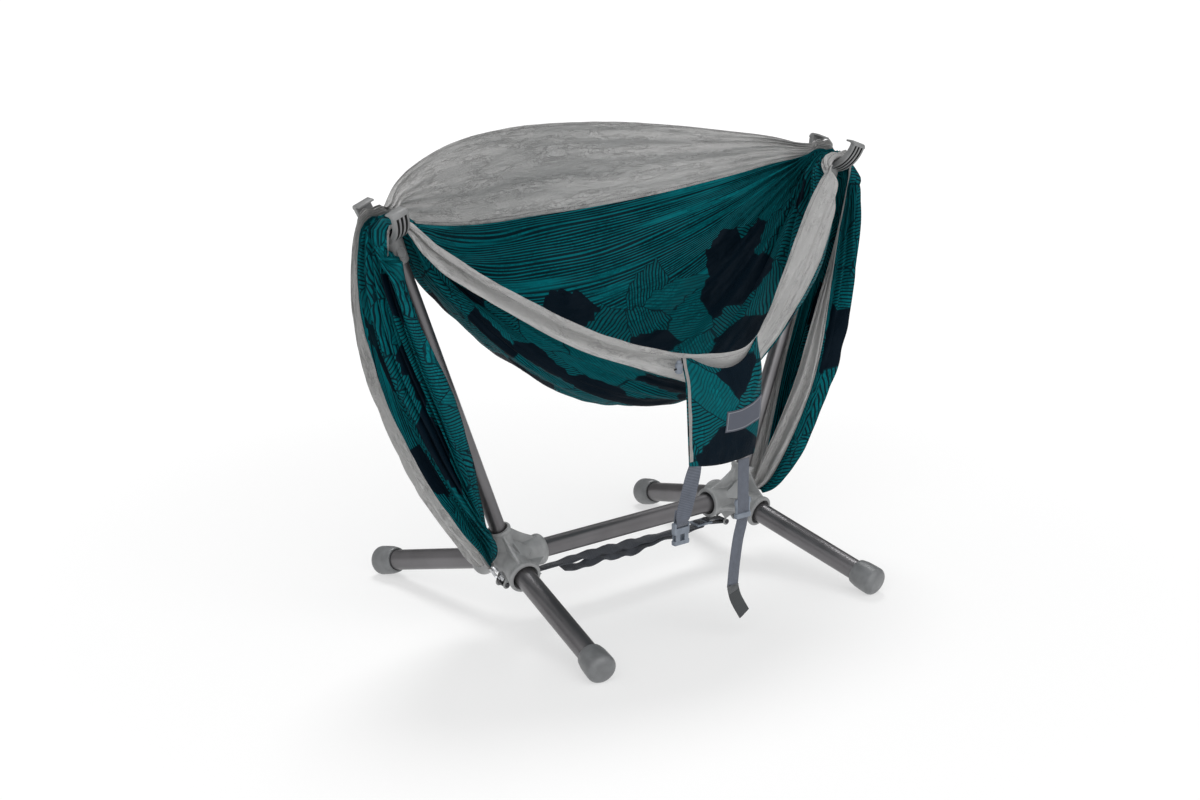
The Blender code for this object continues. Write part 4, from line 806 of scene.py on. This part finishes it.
strap("base_strap_tie", tie, Y * BASE_WEB_W, BASE_WEB_T, base_webbing, "stand",
      ["base_strap_loop"], closed=True)


# Buckles, cord lock and its button: acetal mouldings in slate grey with a slight gloss.
# The ladder buckle takes up the base strap, and the two buckle halves close the pouch when it is packed.
ACETAL_DARK, ACETAL_PALE = (0.15, 0.175, 0.215), (0.20, 0.23, 0.275)

slate_plastic = Finish("slate_acetal", specular_ior_level=0.5)
where = slate_plastic.place()
patchy = slate_plastic.noise(where, 80.0, 3.0).ramp(0.3, 0.7)
slate_plastic.colour(slate_plastic.mix(patchy, ACETAL_DARK, ACETAL_PALE))
slate_plastic.roughness(slate_plastic.noise(where, 260.0).ramp(0.3, 0.7, 0.3, 0.46))
slate_plastic.relief(slate_plastic.noise(where, 1200.0), 0.00012)
refinish(slate_plastic, "base_strap_buckle", "buckle_socket", "buckle_prongs", "cord_lock_body",
         "cord_lock_button")


# The hammock: three long panels of thin ripstop nylon, a printed one between two grey ones.
# Felled seams join them, both ends are gathered on a cord, and the cloth lies in the two yokes.
CLOTH_LENGTH = 2.65
FRONT_FLAT, CENTRE_FLAT, BACK_FLAT = 0.085, 0.67, 0.187
CLOTH_REST, CLOTH_THICK, CORD_TUCK = 0.0034, 0.0005, 0.0009
LINES = ("front_hem", "front_seam", "front_low", "bottom", "back_low", "back_seam", "back_hem")
# For each line at the seat's middle: where it lies, how its curve bends, and how lopsided it is.
SEAT_Y = ((-0.315, 1.43, 0.10), (-0.275, 1.6, -0.12), (-0.175, 1.9, -0.05), (-0.020, 2.0, 0.0),
          (0.160, 1.9, 0.0), (0.268, 1.55, 0.0), (0.205, 2.6, -0.009))
SEAT_DROP = ((0.219, 1.5, 0.09), (0.300, 1.2, 0.09), (0.345, 1.9, 0.035), (0.368, 2.2, 0.015),
             (0.290, 2.2, 0.0), (0.088, 1.93, 0.0), (-0.095, 2.1, -0.025))
# Where each line lies round the saddle, in degrees from its lowest point.
SADDLE_ANGLE = (-44, -24, -11, 4, 24, 45, 72)
# For each line in a drape, spread or gathered: its share of the half width and of the tuck.
DRAPE_SHARE = ((-0.62, 2.0), (-0.84, 0.9), (-0.52, 0.22), (-0.05, 0.0), (0.38, 0.05), (0.72, 0.20),
               (1.0, 0.60))
GATHER_SHARE = ((0.05, 2.0), (-0.80, 1.1), (-0.85, 0.30), (-0.60, 0.0), (-0.25, -0.1), (0.15, -0.1),
                (1.0, 0.45))
# Stations from the cord to the saddle: share of the way, bulge, half width, tuck, how gathered.
DRAPE = ((0.0, 0.008, 0.020, 0.006, 1.0), (0.03, 0.018, 0.036, 0.010, 0.9), (0.09, 0.026, 0.050, 0.014, 0.75),
         (0.20, 0.038, 0.062, 0.020, 0.4), (0.36, 0.050, 0.072, 0.028, 0.1), (0.54, 0.055, 0.076, 0.034, 0.0),
         (0.73, 0.050, 0.070, 0.028, 0.0), (0.89, 0.030, 0.054, 0.015, 0.0))
# Stations from a saddle to the seat's middle, and the depth of the broad folds at all of one side's stations.
SEAT_SHARES = (0.88, 0.74, 0.56, 0.38, 0.19, 0.0)
FOLDS = (0.003, 0.006, 0.010, 0.013, 0.014, 0.014, 0.012, 0.009, 0.006, 0.005, 0.005, 0.006, 0.009, 0.011,
         0.010, 0.007, 0.004, 0.003)
CLOTH_STEP = 0.0071


def cloth_end(side):
    reach = CARABINER_SPAN + END_LOOP_SPAN + ROD_D / 2 + FIT + END_CORD_D * 1.5 - CORD_TUCK
    return chain_frame(side) @ Vector((reach, 0, 0))


def seat_point(line, share):
    side = 1 if share >= 0 else -1
    lie, cloth_r = yoke_frame(side), SADDLE_R - CLOTH_REST
    angle = radians(SADDLE_ANGLE[line])
    inward = -side * (YOKE_BAND / 2 + 0.002)
    start = lie @ Vector((inward, cloth_r * sin(angle), -cloth_r * cos(angle)))
    saddle = lie @ Vector((inward, 0, -cloth_r))
    y_mid, y_power, y_skew = SEAT_Y[line]
    drop, z_power, z_skew = SEAT_DROP[line]
    z_mid = saddle.z - drop
    reach = abs(share)
    lopsided = share * (1 - share * share)
    return Vector((saddle.x * reach, y_mid + (start.y - y_mid) * reach ** y_power + y_skew * lopsided,
                   z_mid + (start.z - z_mid) * reach ** z_power + z_skew * lopsided))


def cloth_stations(side):
    lie, cloth_r = yoke_frame(side), SADDLE_R - CLOTH_REST
    end = cloth_end(side)
    chord = lie @ Vector((side * (YOKE_BAND / 2 + 0.014), 0, -SADDLE_R)) - end
    bulge_way = Vector((chord.z * side, 0, -chord.x * side)).normalized()
    stations = []
    for share, bulge, half, tuck, gather in DRAPE:
        row = []
        for line, (high_share, low_share) in enumerate(zip(DRAPE_SHARE, GATHER_SHARE)):
            across = high_share[0] + (low_share[0] - high_share[0]) * gather
            inward = high_share[1] + (low_share[1] - high_share[1]) * gather
            if side < 0 and line == 0:
                across, inward = across * 0.78, inward * 0.56
            row.append(end + chord * share + bulge_way * (bulge - tuck * inward) + Y * half * across)
        stations.append(row)
    for out, lift in ((YOKE_BAND / 2 + 0.002, -0.001), (0.0, 0.0), (-YOKE_BAND / 2 - 0.002, -0.001),
                      (-YOKE_BAND / 2 - 0.013, -0.012)):
        stations.append([lie @ Vector((side * out, cloth_r * sin(a), lift - cloth_r * cos(a)))
                         for a in map(radians, SADDLE_ANGLE)])
    for share in SEAT_SHARES:
        stations.append([seat_point(line, side * share) for line in range(len(LINES))])
    return stations


def between(points, at):
    """Catmull-Rom values of an array at fractional places along its first axis."""
    last = len(points) - 1
    at = np.clip(np.asarray(at, float), 0, last)
    i = np.minimum(at.astype(int), last - 1)
    t = (at - i).reshape((-1,) + (1,) * (points.ndim - 1))
    return eased(*(points[np.clip(i + k, 0, last)] for k in (-1, 0, 1, 2)), t)


left_run, right_run = cloth_stations(-1), cloth_stations(1)
stations = np.array([[list(p) for p in row] for row in left_run + right_run[-2::-1]])
fine = np.linspace(0, len(stations) - 1, 1500)
middle_line = between(stations, fine)[:, 2:6].mean(axis=1)
run = np.concatenate([[0], np.cumsum(np.linalg.norm(np.diff(middle_line, axis=0), axis=1))])
steps_along = int(run[-1] / CLOTH_STEP)
row_place = np.interp(np.linspace(0, run[-1], steps_along + 1), run, fine)
cloth_rows = between(stations, row_place)
row_folds = np.interp(row_place, range(len(stations)), FOLDS + FOLDS[-2::-1])
row_run = np.linspace(0, CLOTH_LENGTH, steps_along + 1)
SADDLE_STATION = len(DRAPE) + 1
saddle_left = np.interp(SADDLE_STATION, row_place, row_run)
saddle_right = np.interp(len(stations) - 1 - SADDLE_STATION, row_place, row_run)
to_saddle = np.minimum(abs(row_run - saddle_left), abs(row_run - saddle_right))
in_seat = (row_run > saddle_left) & (row_run < saddle_right)
at_saddle = np.exp(-(to_saddle / 0.07) ** 2)
sunk = 0.5 * (1 - at_saddle)
seat_share = np.where(in_seat, 1 - 0.6 * at_saddle, 0.4)
pleat_limit = np.where(in_seat, 0.0042 + 0.020 * np.exp(-(to_saddle / 0.13) ** 2), 0.030)


# Small loose folds: how deep, how many per metre along and across the cloth, and their own random draw.
FINE_FOLDS = ((0.0032, 9.0, 48.0, 3.1), (0.0013, 30.0, 75.0, 5.9))


def field(u, v, seed):
    """Smooth noise over the flat cloth, for its folds."""
    return np.array([[noise.noise(Vector((a, b, seed))) for b in v] for a in u])


def seam_shift(line, k):
    """Where a seam lies among the lines: on the left drape the cloth has slipped round towards the pole."""
    down = max(0.0, 1 - row_run[k] / saddle_left)
    early = 0.017 if line == 5 else 0.045
    slip = min(1.0, max(0.0, early + (saddle_left - row_run[k]) / saddle_left) / 0.075)
    slip = slip * slip * (3 - 2 * slip)
    if line == 5:
        return 5 + slip * (0.45 - 3.5 * down)
    beyond = max(0.0, (row_run[k] - saddle_right) / (CLOTH_LENGTH - saddle_right))
    tuck = min(1.0, beyond / 0.05) * max(0.0, min(1.0, 1.5 - beyond / 0.45))
    ahead = saddle_right - row_run[k]
    spread = 0.8 * np.exp(-((ahead - 0.06) / 0.12) ** 2) if ahead > 0 else 0.0
    return line - 0.88 * slip - 0.84 * tuck + spread if line == 1 else line


def cloth_panel(first, last, columns, width, waves, ridges, loose, seed, creases=(), rolls=(), taut=1.0):
    """One panel's points between two lines, pleated as deep as its flat width needs where it is drawn in.

    Waves is how many broad folds it has, ridges how many pleats, loose and taut how much it crumples.
    """
    s = np.linspace(0, 1, columns + 1)
    points = np.array([between(row, seam_shift(first, k) * (1 - s) + seam_shift(last, k) * s)
                       for k, row in enumerate(cloth_rows)])
    length_way = np.gradient(points, axis=0)
    side_way = np.gradient(points, axis=1)
    normal = np.cross(length_way, side_way)
    normal /= np.linalg.norm(normal, axis=2, keepdims=True)
    drawn = np.linalg.norm(np.diff(points, axis=1), axis=2).sum(axis=1)
    fullness = np.clip(width / drawn, 1.0, 8.0)
    limit = pleat_limit * np.where(in_seat, taut + (1 - taut) * at_saddle, 1.0)
    depth = np.minimum(0.5 * drawn / ridges * np.sqrt(fullness ** 2 - 1), limit)
    wander = field(row_run * 2.2, s * 2.6, seed) * 0.9
    uneven = 1.0 + 0.85 * field(row_run * 1.1, s * ridges * 0.9, seed + 7.3)
    phase = ridges * s[None, :] + wander
    pleat = np.arcsin(np.sin(2 * pi * phase) * 0.97) / pi + 0.5
    edge = np.clip(np.minimum(s, 1 - s) * ridges * 1.2, 0, 1) ** 0.5
    lift = depth[:, None] * (pleat * np.clip(uneven, 0.4, 1.5) - sunk[:, None]) * edge[None, :]
    v = s * width
    lift += row_folds[:, None] * (1 - np.cos(2 * pi * waves * s[None, :])) / 2
    lift += taut * loose * 0.0060 * field(row_run * 3.0, v * 22.0, seed + 1.7) * seat_share[:, None]
    for fold, per_length, per_width, draw in FINE_FOLDS:
        lift += loose * fold * field(row_run * per_length, v * per_width, seed + draw)
    for at, swing, reach, depth_of, narrow in creases:
        away = (saddle_right - row_run) if swing > 0 else (row_run - saddle_left)
        fade = np.clip(away / 0.05, 0, 1) * np.clip(1 - away / reach, 0, 1) ** 0.7 * (away > 0)
        line = at - abs(swing) * np.clip(away / reach, 0, 1)
        lift -= depth_of * fade[:, None] * np.exp(-np.abs((s[None, :] - line[:, None]) / narrow) ** 1.4)
    points = points + normal * lift[:, :, None]
    away = row_run - saddle_left
    fade = np.clip(away / 0.06, 0, 1) * np.clip((0.64 - away) / 0.24, 0, 1) * (away > 0)
    for at, fullness_of, wide in rolls:
        out = fullness_of * fade[:, None] * np.exp(-((s[None, :] - at) / wide) ** 2)
        points += out[:, :, None] * np.array(ROLL_WAY)
    return points


def cloth_object(name, points, width, finish, node):
    """One panel as a sheet of cloth between its points."""
    rows, columns = points.shape[0] - 1, points.shape[1] - 1
    bm = laid_grid(columns, rows, lambda s, t: points[round(t * rows), round(s * columns)],
                   (width, CLOTH_LENGTH))
    made = made_object(name, bm, finish)
    made.data.set_sharp_from_angle(angle=pi)
    thicken(made, CLOTH_THICK)
    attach(made, "stand")
    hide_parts(node)
    return made


TEAL, NAVY, GREY = (0.0, 0.120, 0.140), (0.001, 0.006, 0.012), (0.450, 0.447, 0.443)


class Cloth(Finish):
    """Thin nylon, with its place on the flat cloth as across and lengthwise metres."""

    def __init__(self, name, **light_through):
        super().__init__(name, specular_ior_level=0.06, **light_through)
        self.across, self.length, _ = self.split(self.place("UV"))

    def ripple(self, across_scale, length_scale, detail=2.0, rough=0.5, warp=0.0):
        """Noise over the flat cloth, finer or coarser by its two scales per metre."""
        where = self.join(self.across * across_scale, self.length * length_scale)
        return self.noise(where, 1.0, detail, rough, warp)

    def crumple(self, depth):
        """Thin nylon never lies smooth: soft swells, then crisp creases that run mostly along the cloth."""
        swell = self.ripple(42.0, 11.0, 3.0, 0.55, 0.5)
        folds = self.ripple(90.0, 17.0, 4.0, 0.6, 1.4)
        cross = self.ripple(75.0, 60.0, 3.0, 0.6, 1.8)
        crease = folds.off(0.5).fall(0.0, 0.05).most(cross.off(0.5).fall(0.0, 0.028, 0.7))
        crease = crease * swell.ramp(0.38, 0.62, 0.15, 1.0)
        weave = (self.across * 330.0).zigzag().most((self.length * 330.0).zigzag()).ramp(0.40, 0.5)
        self.relief(swell * 0.26 + folds * 0.34 + cross * 0.16 - crease * 0.16 + weave * 0.015, depth)
        self.roughness(swell.ramp(0.3, 0.7, 0.52, 0.66))
        # The swells and the creases also come back, so the colour can carry painted shade that follows them.
        return swell.ramp(0.3, 0.7), crease


def grey_nylon(name, seam_at, hem_at, crumpled):
    """The plain border cloth, with a felled seam on one edge and a stitched hem on the other."""
    cloth = Cloth(name, subsurface_weight=0.5, subsurface_radius=(0.003, 0.003, 0.003), subsurface_scale=1.0)
    swell, crease = cloth.crumple(crumpled)
    from_hem, from_seam = cloth.across.off(hem_at), cloth.across.off(seam_at)
    stitch = (cloth.length * 260.0).zigzag().ramp(0.10, 0.20)
    sewn = from_hem.off(0.0105).least(from_seam.off(0.0070)).fall(0.0004, 0.0010)
    doubled = from_hem.fall(0.0105, 0.0125, 0.5).most(from_seam.fall(0.0070, 0.0085, 0.45))
    # The puckers along the seam are not modelled: they are only dark patches of painted shade.
    pucker = cloth.ripple(60.0, 260.0) * from_seam.fall(0.0, 0.022, 0.9)
    pucker_shade = (1.0 - pucker.ramp(0.1, 0.6)) * from_seam.fall(0.0, 0.02, 0.18)
    # The colour darkens along the creases and in the seam's puckers, both painted shade; along the stitches;
    # and on the strips where the cloth lies doubled.
    dim = crease * 0.46 + sewn * stitch * 0.55 + doubled * 0.35 + pucker_shade
    # Lighter on the swells and darker between them: painted shade.
    body = cloth.shades(swell, GREY, 0.90, 1.10)
    cloth.colour(cloth.mix(dim, body, tuple(c * 0.30 for c in GREY)))
    return cloth


def printed_nylon(name, cell, start, patch_over, rarer, lines_from):
    """The printed cloth: striped facets and plain dark ones, with fine lines along it towards its back seam.

    It takes the facets per metre, where the print starts, the draw above which a facet is plain and dark,
    how much rarer those are in the drapes, and the place across where the fine lines begin.
    """
    cloth = Cloth(name)
    across, length = cloth.across, cloth.length
    swell, crease = cloth.crumple(0.0036)
    wobble = cloth.ripple(13.0, 13.0)
    teeth = (length * 38.0 + across * 22.0).zigzag() * 0.22
    spot = cloth.join((across + start[0]) * cell[0] + wobble * 0.8 + teeth,
                      (length + start[1]) * cell[1] - wobble * 0.6)

    def facets(out, feature="F1"):
        settings = {"voronoi_dimensions": "2D", "feature": feature}
        return cloth.node("ShaderNodeTexVoronoi", settings, {"Vector": spot, "Scale": 1.0}, out)

    red, green, blue = cloth.split(facets("Color"))
    middle = cloth.split(facets("Position"))[0]
    border = facets("Distance", "DISTANCE_TO_EDGE").fall(0.012, 0.026, 0.85)
    lined = (middle / cell[0] - start[0]).ramp(lines_from, lines_from + 0.004)
    angle = (red - 0.5) * 3.0
    bend = cloth.ripple(30.0, 22.0, 1.0) * 0.012
    stripes = (across * angle.cosine() + length * angle.sine() + bend) * 165.0
    stripes = stripes.zigzag().ramp(0.27, 0.33) * green.ramp(0.1, 0.3, 0.55, 1.0)
    fine = (across * 230.0 + cloth.ripple(20.0, 1.3) * 9.0).zigzag()
    fine = fine.ramp(0.10, 0.26) * cloth.ripple(60.0, 2.6).ramp(0.30, 0.48)
    stripes = stripes + (fine - stripes) * lined
    in_drape = length.off(CLOTH_LENGTH / 2).ramp(0.38, 0.50)
    patch = (blue - in_drape * rarer - lined).ramp(patch_over, patch_over + 0.006)
    # Print, with painted shade darkening the creases as well.
    dark = patch.most(stripes * 0.94).most(border * (1.0 - lined)).most(crease * 0.55)
    # Lighter on the swells and darker between them: painted shade.
    body = cloth.shades(swell, TEAL, 0.80, 1.22)
    body = cloth.mix(lined * 0.6, body, tuple(c * 1.75 for c in TEAL))
    cloth.colour(cloth.mix(dark, body, NAVY))
    return cloth


printed_cloth = printed_nylon("printed_ripstop", (16.0, 11.0), (2.2, 9.3), 0.58, 0.30, 0.56)
front_cloth = grey_nylon("grey_ripstop_front", FRONT_FLAT, 0.0, 0.0048)
back_cloth = grey_nylon("grey_ripstop_back", 0.0, BACK_FLAT, 0.0078)
# Creases that start at a yoke: place across at the yoke, swing along their run, reach, depth, narrowness.
# A swing above zero belongs to the right yoke, and below zero to the left one.
SEAT_CREASES = ((0.46, 0.10, 0.48, 0.032, 0.019), (0.56, 0.06, 0.52, 0.030, 0.019),
                (0.65, 0.03, 0.42, 0.020, 0.015), (0.75, 0.01, 0.40, 0.006, 0.014),
                (0.36, 0.08, 0.28, 0.007, 0.014), (0.70, -0.05, 0.30, 0.006, 0.016),
                (0.20, -0.03, 0.34, 0.008, 0.020))
BACK_CREASES = ((0.40, 0.12, 0.80, 0.012, 0.09), (0.66, 0.05, 0.50, 0.009, 0.06),
                (0.42, -0.16, 0.46, 0.008, 0.06), (0.74, -0.06, 0.34, 0.006, 0.05))
FRONT_CREASES = ((0.22, 0.04, 0.17, 0.006, 0.04), (0.42, 0.03, 0.22, 0.007, 0.04),
                 (0.64, 0.02, 0.18, 0.006, 0.04), (0.84, 0.02, 0.14, 0.004, 0.04))
# Left of the pouch the border hangs in loose rolls: place across, fullness, width.
FRONT_ROLLS = ((0.12, 0.020, 0.085), (0.58, 0.036, 0.15), (0.84, 0.022, 0.12))
ROLL_WAY = (-0.50, -0.74, -0.42)
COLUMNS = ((30, 128, 48))
front = cloth_panel(0, 1, COLUMNS[0], FRONT_FLAT, 0, 3.0, 0.8, 11.0, FRONT_CREASES, rolls=FRONT_ROLLS)
centre = cloth_panel(1, 5, COLUMNS[1], CENTRE_FLAT, 3, 16.0, 1.0, 23.0, SEAT_CREASES)
back = cloth_panel(5, 6, COLUMNS[2], BACK_FLAT, 1, 6.0, 0.9, 37.0, BACK_CREASES, taut=0.5)
front[:, -1] = centre[:, 0] = (front[:, -1] + centre[:, 0]) / 2
centre[:, -1] = back[:, 0] = (centre[:, -1] + back[:, 0]) / 2
for name, points, width, finish, slot in (
        ("front_panel", front, FRONT_FLAT, front_cloth, "grey_cloth"),
        ("centre_panel", centre, CENTRE_FLAT, printed_cloth, "teal_cloth"),
        ("back_panel", back, BACK_FLAT, back_cloth, "grey_cloth")):
    panel = cloth_object(name + "_cloth", points, width, finish, name)


# The pouch: a small printed-cloth bag sewn to the front hem, which the whole hammock packs into.
# A woven patch is sewn on its face, and a drawcord with a lock leaves its top corner.
POUCH_LEFT, POUCH_RIGHT, POUCH_HEIGHT, POUCH_CELLS = -0.127, 0.043, 0.188, 56
seat_hem = cloth_rows[in_seat, 0]


def hem_point(x):
    return Vector([np.interp(x, seat_hem[:, 0], values) for values in seat_hem.T])


def pouch_point(s, t, face):
    """The bag's surface: s runs left to right and t top to bottom."""
    left = POUCH_LEFT - 0.0036 * t
    right = POUCH_RIGHT - 0.028 * t * t
    x = left + (right - left) * s
    hem = hem_point(x)
    centre_hem = hem_point((POUCH_LEFT + POUCH_RIGHT) / 2)
    z_top = hem.z - 0.0020 - 0.026 * sin(pi * s) * (1 - t)
    z_low = centre_hem.z - POUCH_HEIGHT - 0.008 * sin(pi * s) + 0.006 * (1 - s)
    settle = min(t / 0.3, 1.0)
    lean = settle * settle * (3 - 2 * settle)
    y = hem.y - 0.0016 - 0.0095 * lean
    y += (centre_hem.y - 0.0111 - y) * lean * t
    edge = (1 - abs(2 * s - 1) ** 2.5) * (1 - abs(2 * t - 1) ** 3)
    half = 0.0012 + 0.0078 * sqrt(max(edge, 0.0))
    return Vector((x, y - face * half, z_top + (z_low - z_top) * t))


def pouch_skin(s, t):
    """The front of the bag with its soft creases."""
    spot = pouch_point(s, t, 1)
    room = min(1.0, 8 * min(s, 1 - s)) * min(1.0, 6 * min(t, 1 - t))
    crease = 0.0030 * noise.noise(Vector((s * 3.1 + t * 1.2, t * 4.5, 2.0)))
    crease += 0.0014 * noise.noise(Vector((s * 9, t * 8, 9.0)))
    return spot + Vector((0, crease * room, 0))


pouch_cloth = printed_nylon("pouch_ripstop", (14.0, 12.0), (0.31, 1.16), 0.70, 0.0, 9.0)
bm = bmesh.new()
bmesh.ops.create_grid(bm, x_segments=POUCH_CELLS, y_segments=POUCH_CELLS, size=0.5)
grown = bmesh.ops.extrude_face_region(bm, geom=bm.faces[:])
fronts = {item for item in grown["geom"] if isinstance(item, bmesh.types.BMVert)}
spot = {v: (v.co.x + 0.5, v.co.y + 0.5) for v in bm.verts}
for vert, (s, t) in spot.items():
    vert.co = pouch_skin(s, 1 - t) if vert in fronts else pouch_point(s, 1 - t, -1)
map_flat(bm, spot, (POUCH_RIGHT - POUCH_LEFT, POUCH_HEIGHT))
pouch = shell_object("pouch_bag", bm, pouch_cloth)
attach(pouch, "pouch")
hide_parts("pouch")

LABEL_W, LABEL_H, LABEL_THICK = 0.092, 0.041, 0.0008
LABEL_AT = (0.715, 0.58)
label_cloth = Finish("woven_patch", specular_ior_level=0.3, roughness=0.7)
across, length, _ = label_cloth.split(label_cloth.place("UV"))
inset = (across.least(LABEL_W - across)).least(length.least(LABEL_H - length))
line = inset.off(0.0034).fall(0.0004, 0.0009)
weave = (across * 5200.0).sine() * (length * 5200.0).sine()
label_cloth.colour(label_cloth.mix(line * 0.8, (0.105, 0.115, 0.145), (0.36, 0.37, 0.40)))
label_cloth.relief(weave * 0.5 + line, 0.0004)


def label_point(s, t):
    flat_s = LABEL_AT[0] + (s - 0.5) * LABEL_W / (POUCH_RIGHT - POUCH_LEFT)
    flat_t = LABEL_AT[1] - (t - 0.5) * LABEL_H / POUCH_HEIGHT
    return pouch_skin(flat_s, flat_t) + Vector((0, -0.0009, 0))


label = shell_object("pouch_patch", laid_grid(24, 12, label_point, (LABEL_W, LABEL_H)), label_cloth)
thicken(label, LABEL_THICK)
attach(label, "pouch")
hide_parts("pouch_label")

BINDING_W, BINDING_THICK, DRAWCORD_D = 0.0075, 0.0008, 0.003
binding_cloth = woven_webbing("binding_tape", (0.30, 0.29, 0.285))
edge = [pouch_point(0.018, t / 25, 1) + Vector((0, -0.0005, 0)) for t in range(25)]
strap("pouch_binding", edge, X * BINDING_W, BINDING_THICK, binding_cloth, "pouch", [])

edge = pouch_point(0.0, 0.13, 0)
stub = [(edge.x - 0.0006, edge.y, edge.z), (edge.x - 0.0087, edge.y, edge.z),
        (edge.x - 0.0192, edge.y, edge.z - 0.0002)]
black_cord = braided("black_braided_cord", (0.03, 0.03, 0.034))
cord_tube("drawcord_cord", smooth_path(stub, 6), DRAWCORD_D / 2, black_cord, "pouch",
          ["drawcord"])


# The two straps at the pouch's foot: 25 mm webbing, sewn into its bottom seam.
# The short one carries the buckle's socket half, and the long one its prongs and a doubled tab at the end.
WEBBING_W, WEBBING_T, SHORT_TURN = 0.025, 0.0014, radians(52)
SHORT_X, LONG_X = -0.117, -0.007


def hanging_top(x):
    """Where a strap at x leaves the bag: the lowest spot of its edge within the strap's width."""
    edge = [pouch_point(k / 60, 1.0, 0) for k in range(61)]
    return min((p for p in edge if abs(p.x - x) < WEBBING_W / 2 + 0.002), key=lambda p: p.z)


FROM_POUCH = ((0.001, 0, 0.0060), (-0.012, -0.002, -0.028), (-0.020, -0.001, -0.058))
ROUND_BAR = ((0.001, 0, 0.010), (0, 0, 0.001), (0, 0.0002, -0.0022), (0, 0.0018, -0.0048),
             (0, 0.0036, -0.0055), (0, 0.0054, -0.0048), (0, 0.0070, -0.0022), (0, 0.0072, 0.001),
             (0.001, 0.0072, 0.010), (0.003, 0.0076, 0.022))
top = hanging_top(SHORT_X)
bar_x, bar_z = SHORT_X - 0.028, top.z - 0.094
route = smooth_path([(SHORT_X + x, top.y + y, top.z + z) for x, y, z in FROM_POUCH]
                    + [(bar_x + x, top.y + y, bar_z + z) for x, y, z in ROUND_BAR], 6)
turned = [SHORT_TURN * sin(pi * min(i / 20, 1.0)) for i in range(len(route))]
strap("short_strap_webbing", route, X * WEBBING_W, WEBBING_T, slate_webbing, "short_strap",
      ["short_strap"], twist=turned)

LONG_RUN = ((0, 0, 0.285), (0, 0, 0.232), (-0.002, 0, 0.214), (-0.012, -0.002, 0.185),
            (-0.018, -0.001, 0.140), (-0.021, 0, 0.100))
TAB_RUN = ((-0.0210, -0.0016, 0.1035), (-0.0205, -0.0014, 0.0975), (-0.012, -0.0004, 0.075),
           (0.009, 0.001, 0.042))
top = hanging_top(LONG_X)
hung, tab = ([(LONG_X + x, top.y + y, z) for x, y, z in run] for run in (LONG_RUN, TAB_RUN))
hung.insert(0, (LONG_X, top.y, top.z - 0.0012))
strap("long_strap_webbing", smooth_path(hung, 10), X * WEBBING_W, WEBBING_T, slate_webbing, "long_strap",
      ["long_strap"])
tab_webbing = Finish("ribbed_tab", specular_ior_level=0.3, roughness=0.72)
across, length, _ = tab_webbing.split(tab_webbing.place("UV"))
rib = (length * 330.0).zigzag() * 2.0 * length.fall(0.030, 0.032)
plait = (across * 2600.0).sine() * (length * 1500.0).sine() * length.ramp(0.032, 0.034)
raised = rib + plait * 0.5
tab_webbing.colour(tab_webbing.mix(raised.ramp(0.1, 0.9), (0.055, 0.059, 0.062), (0.165, 0.172, 0.180)))
tab_webbing.relief(raised, 0.0005)
strap("strap_end_webbing", smooth_path(tab, 12), X * (WEBBING_W - 0.001), WEBBING_T * 1.6, tab_webbing,
      "long_strap", ["strap_end_tab"])

bpy.context.scene.view_settings.view_transform = "Standard"
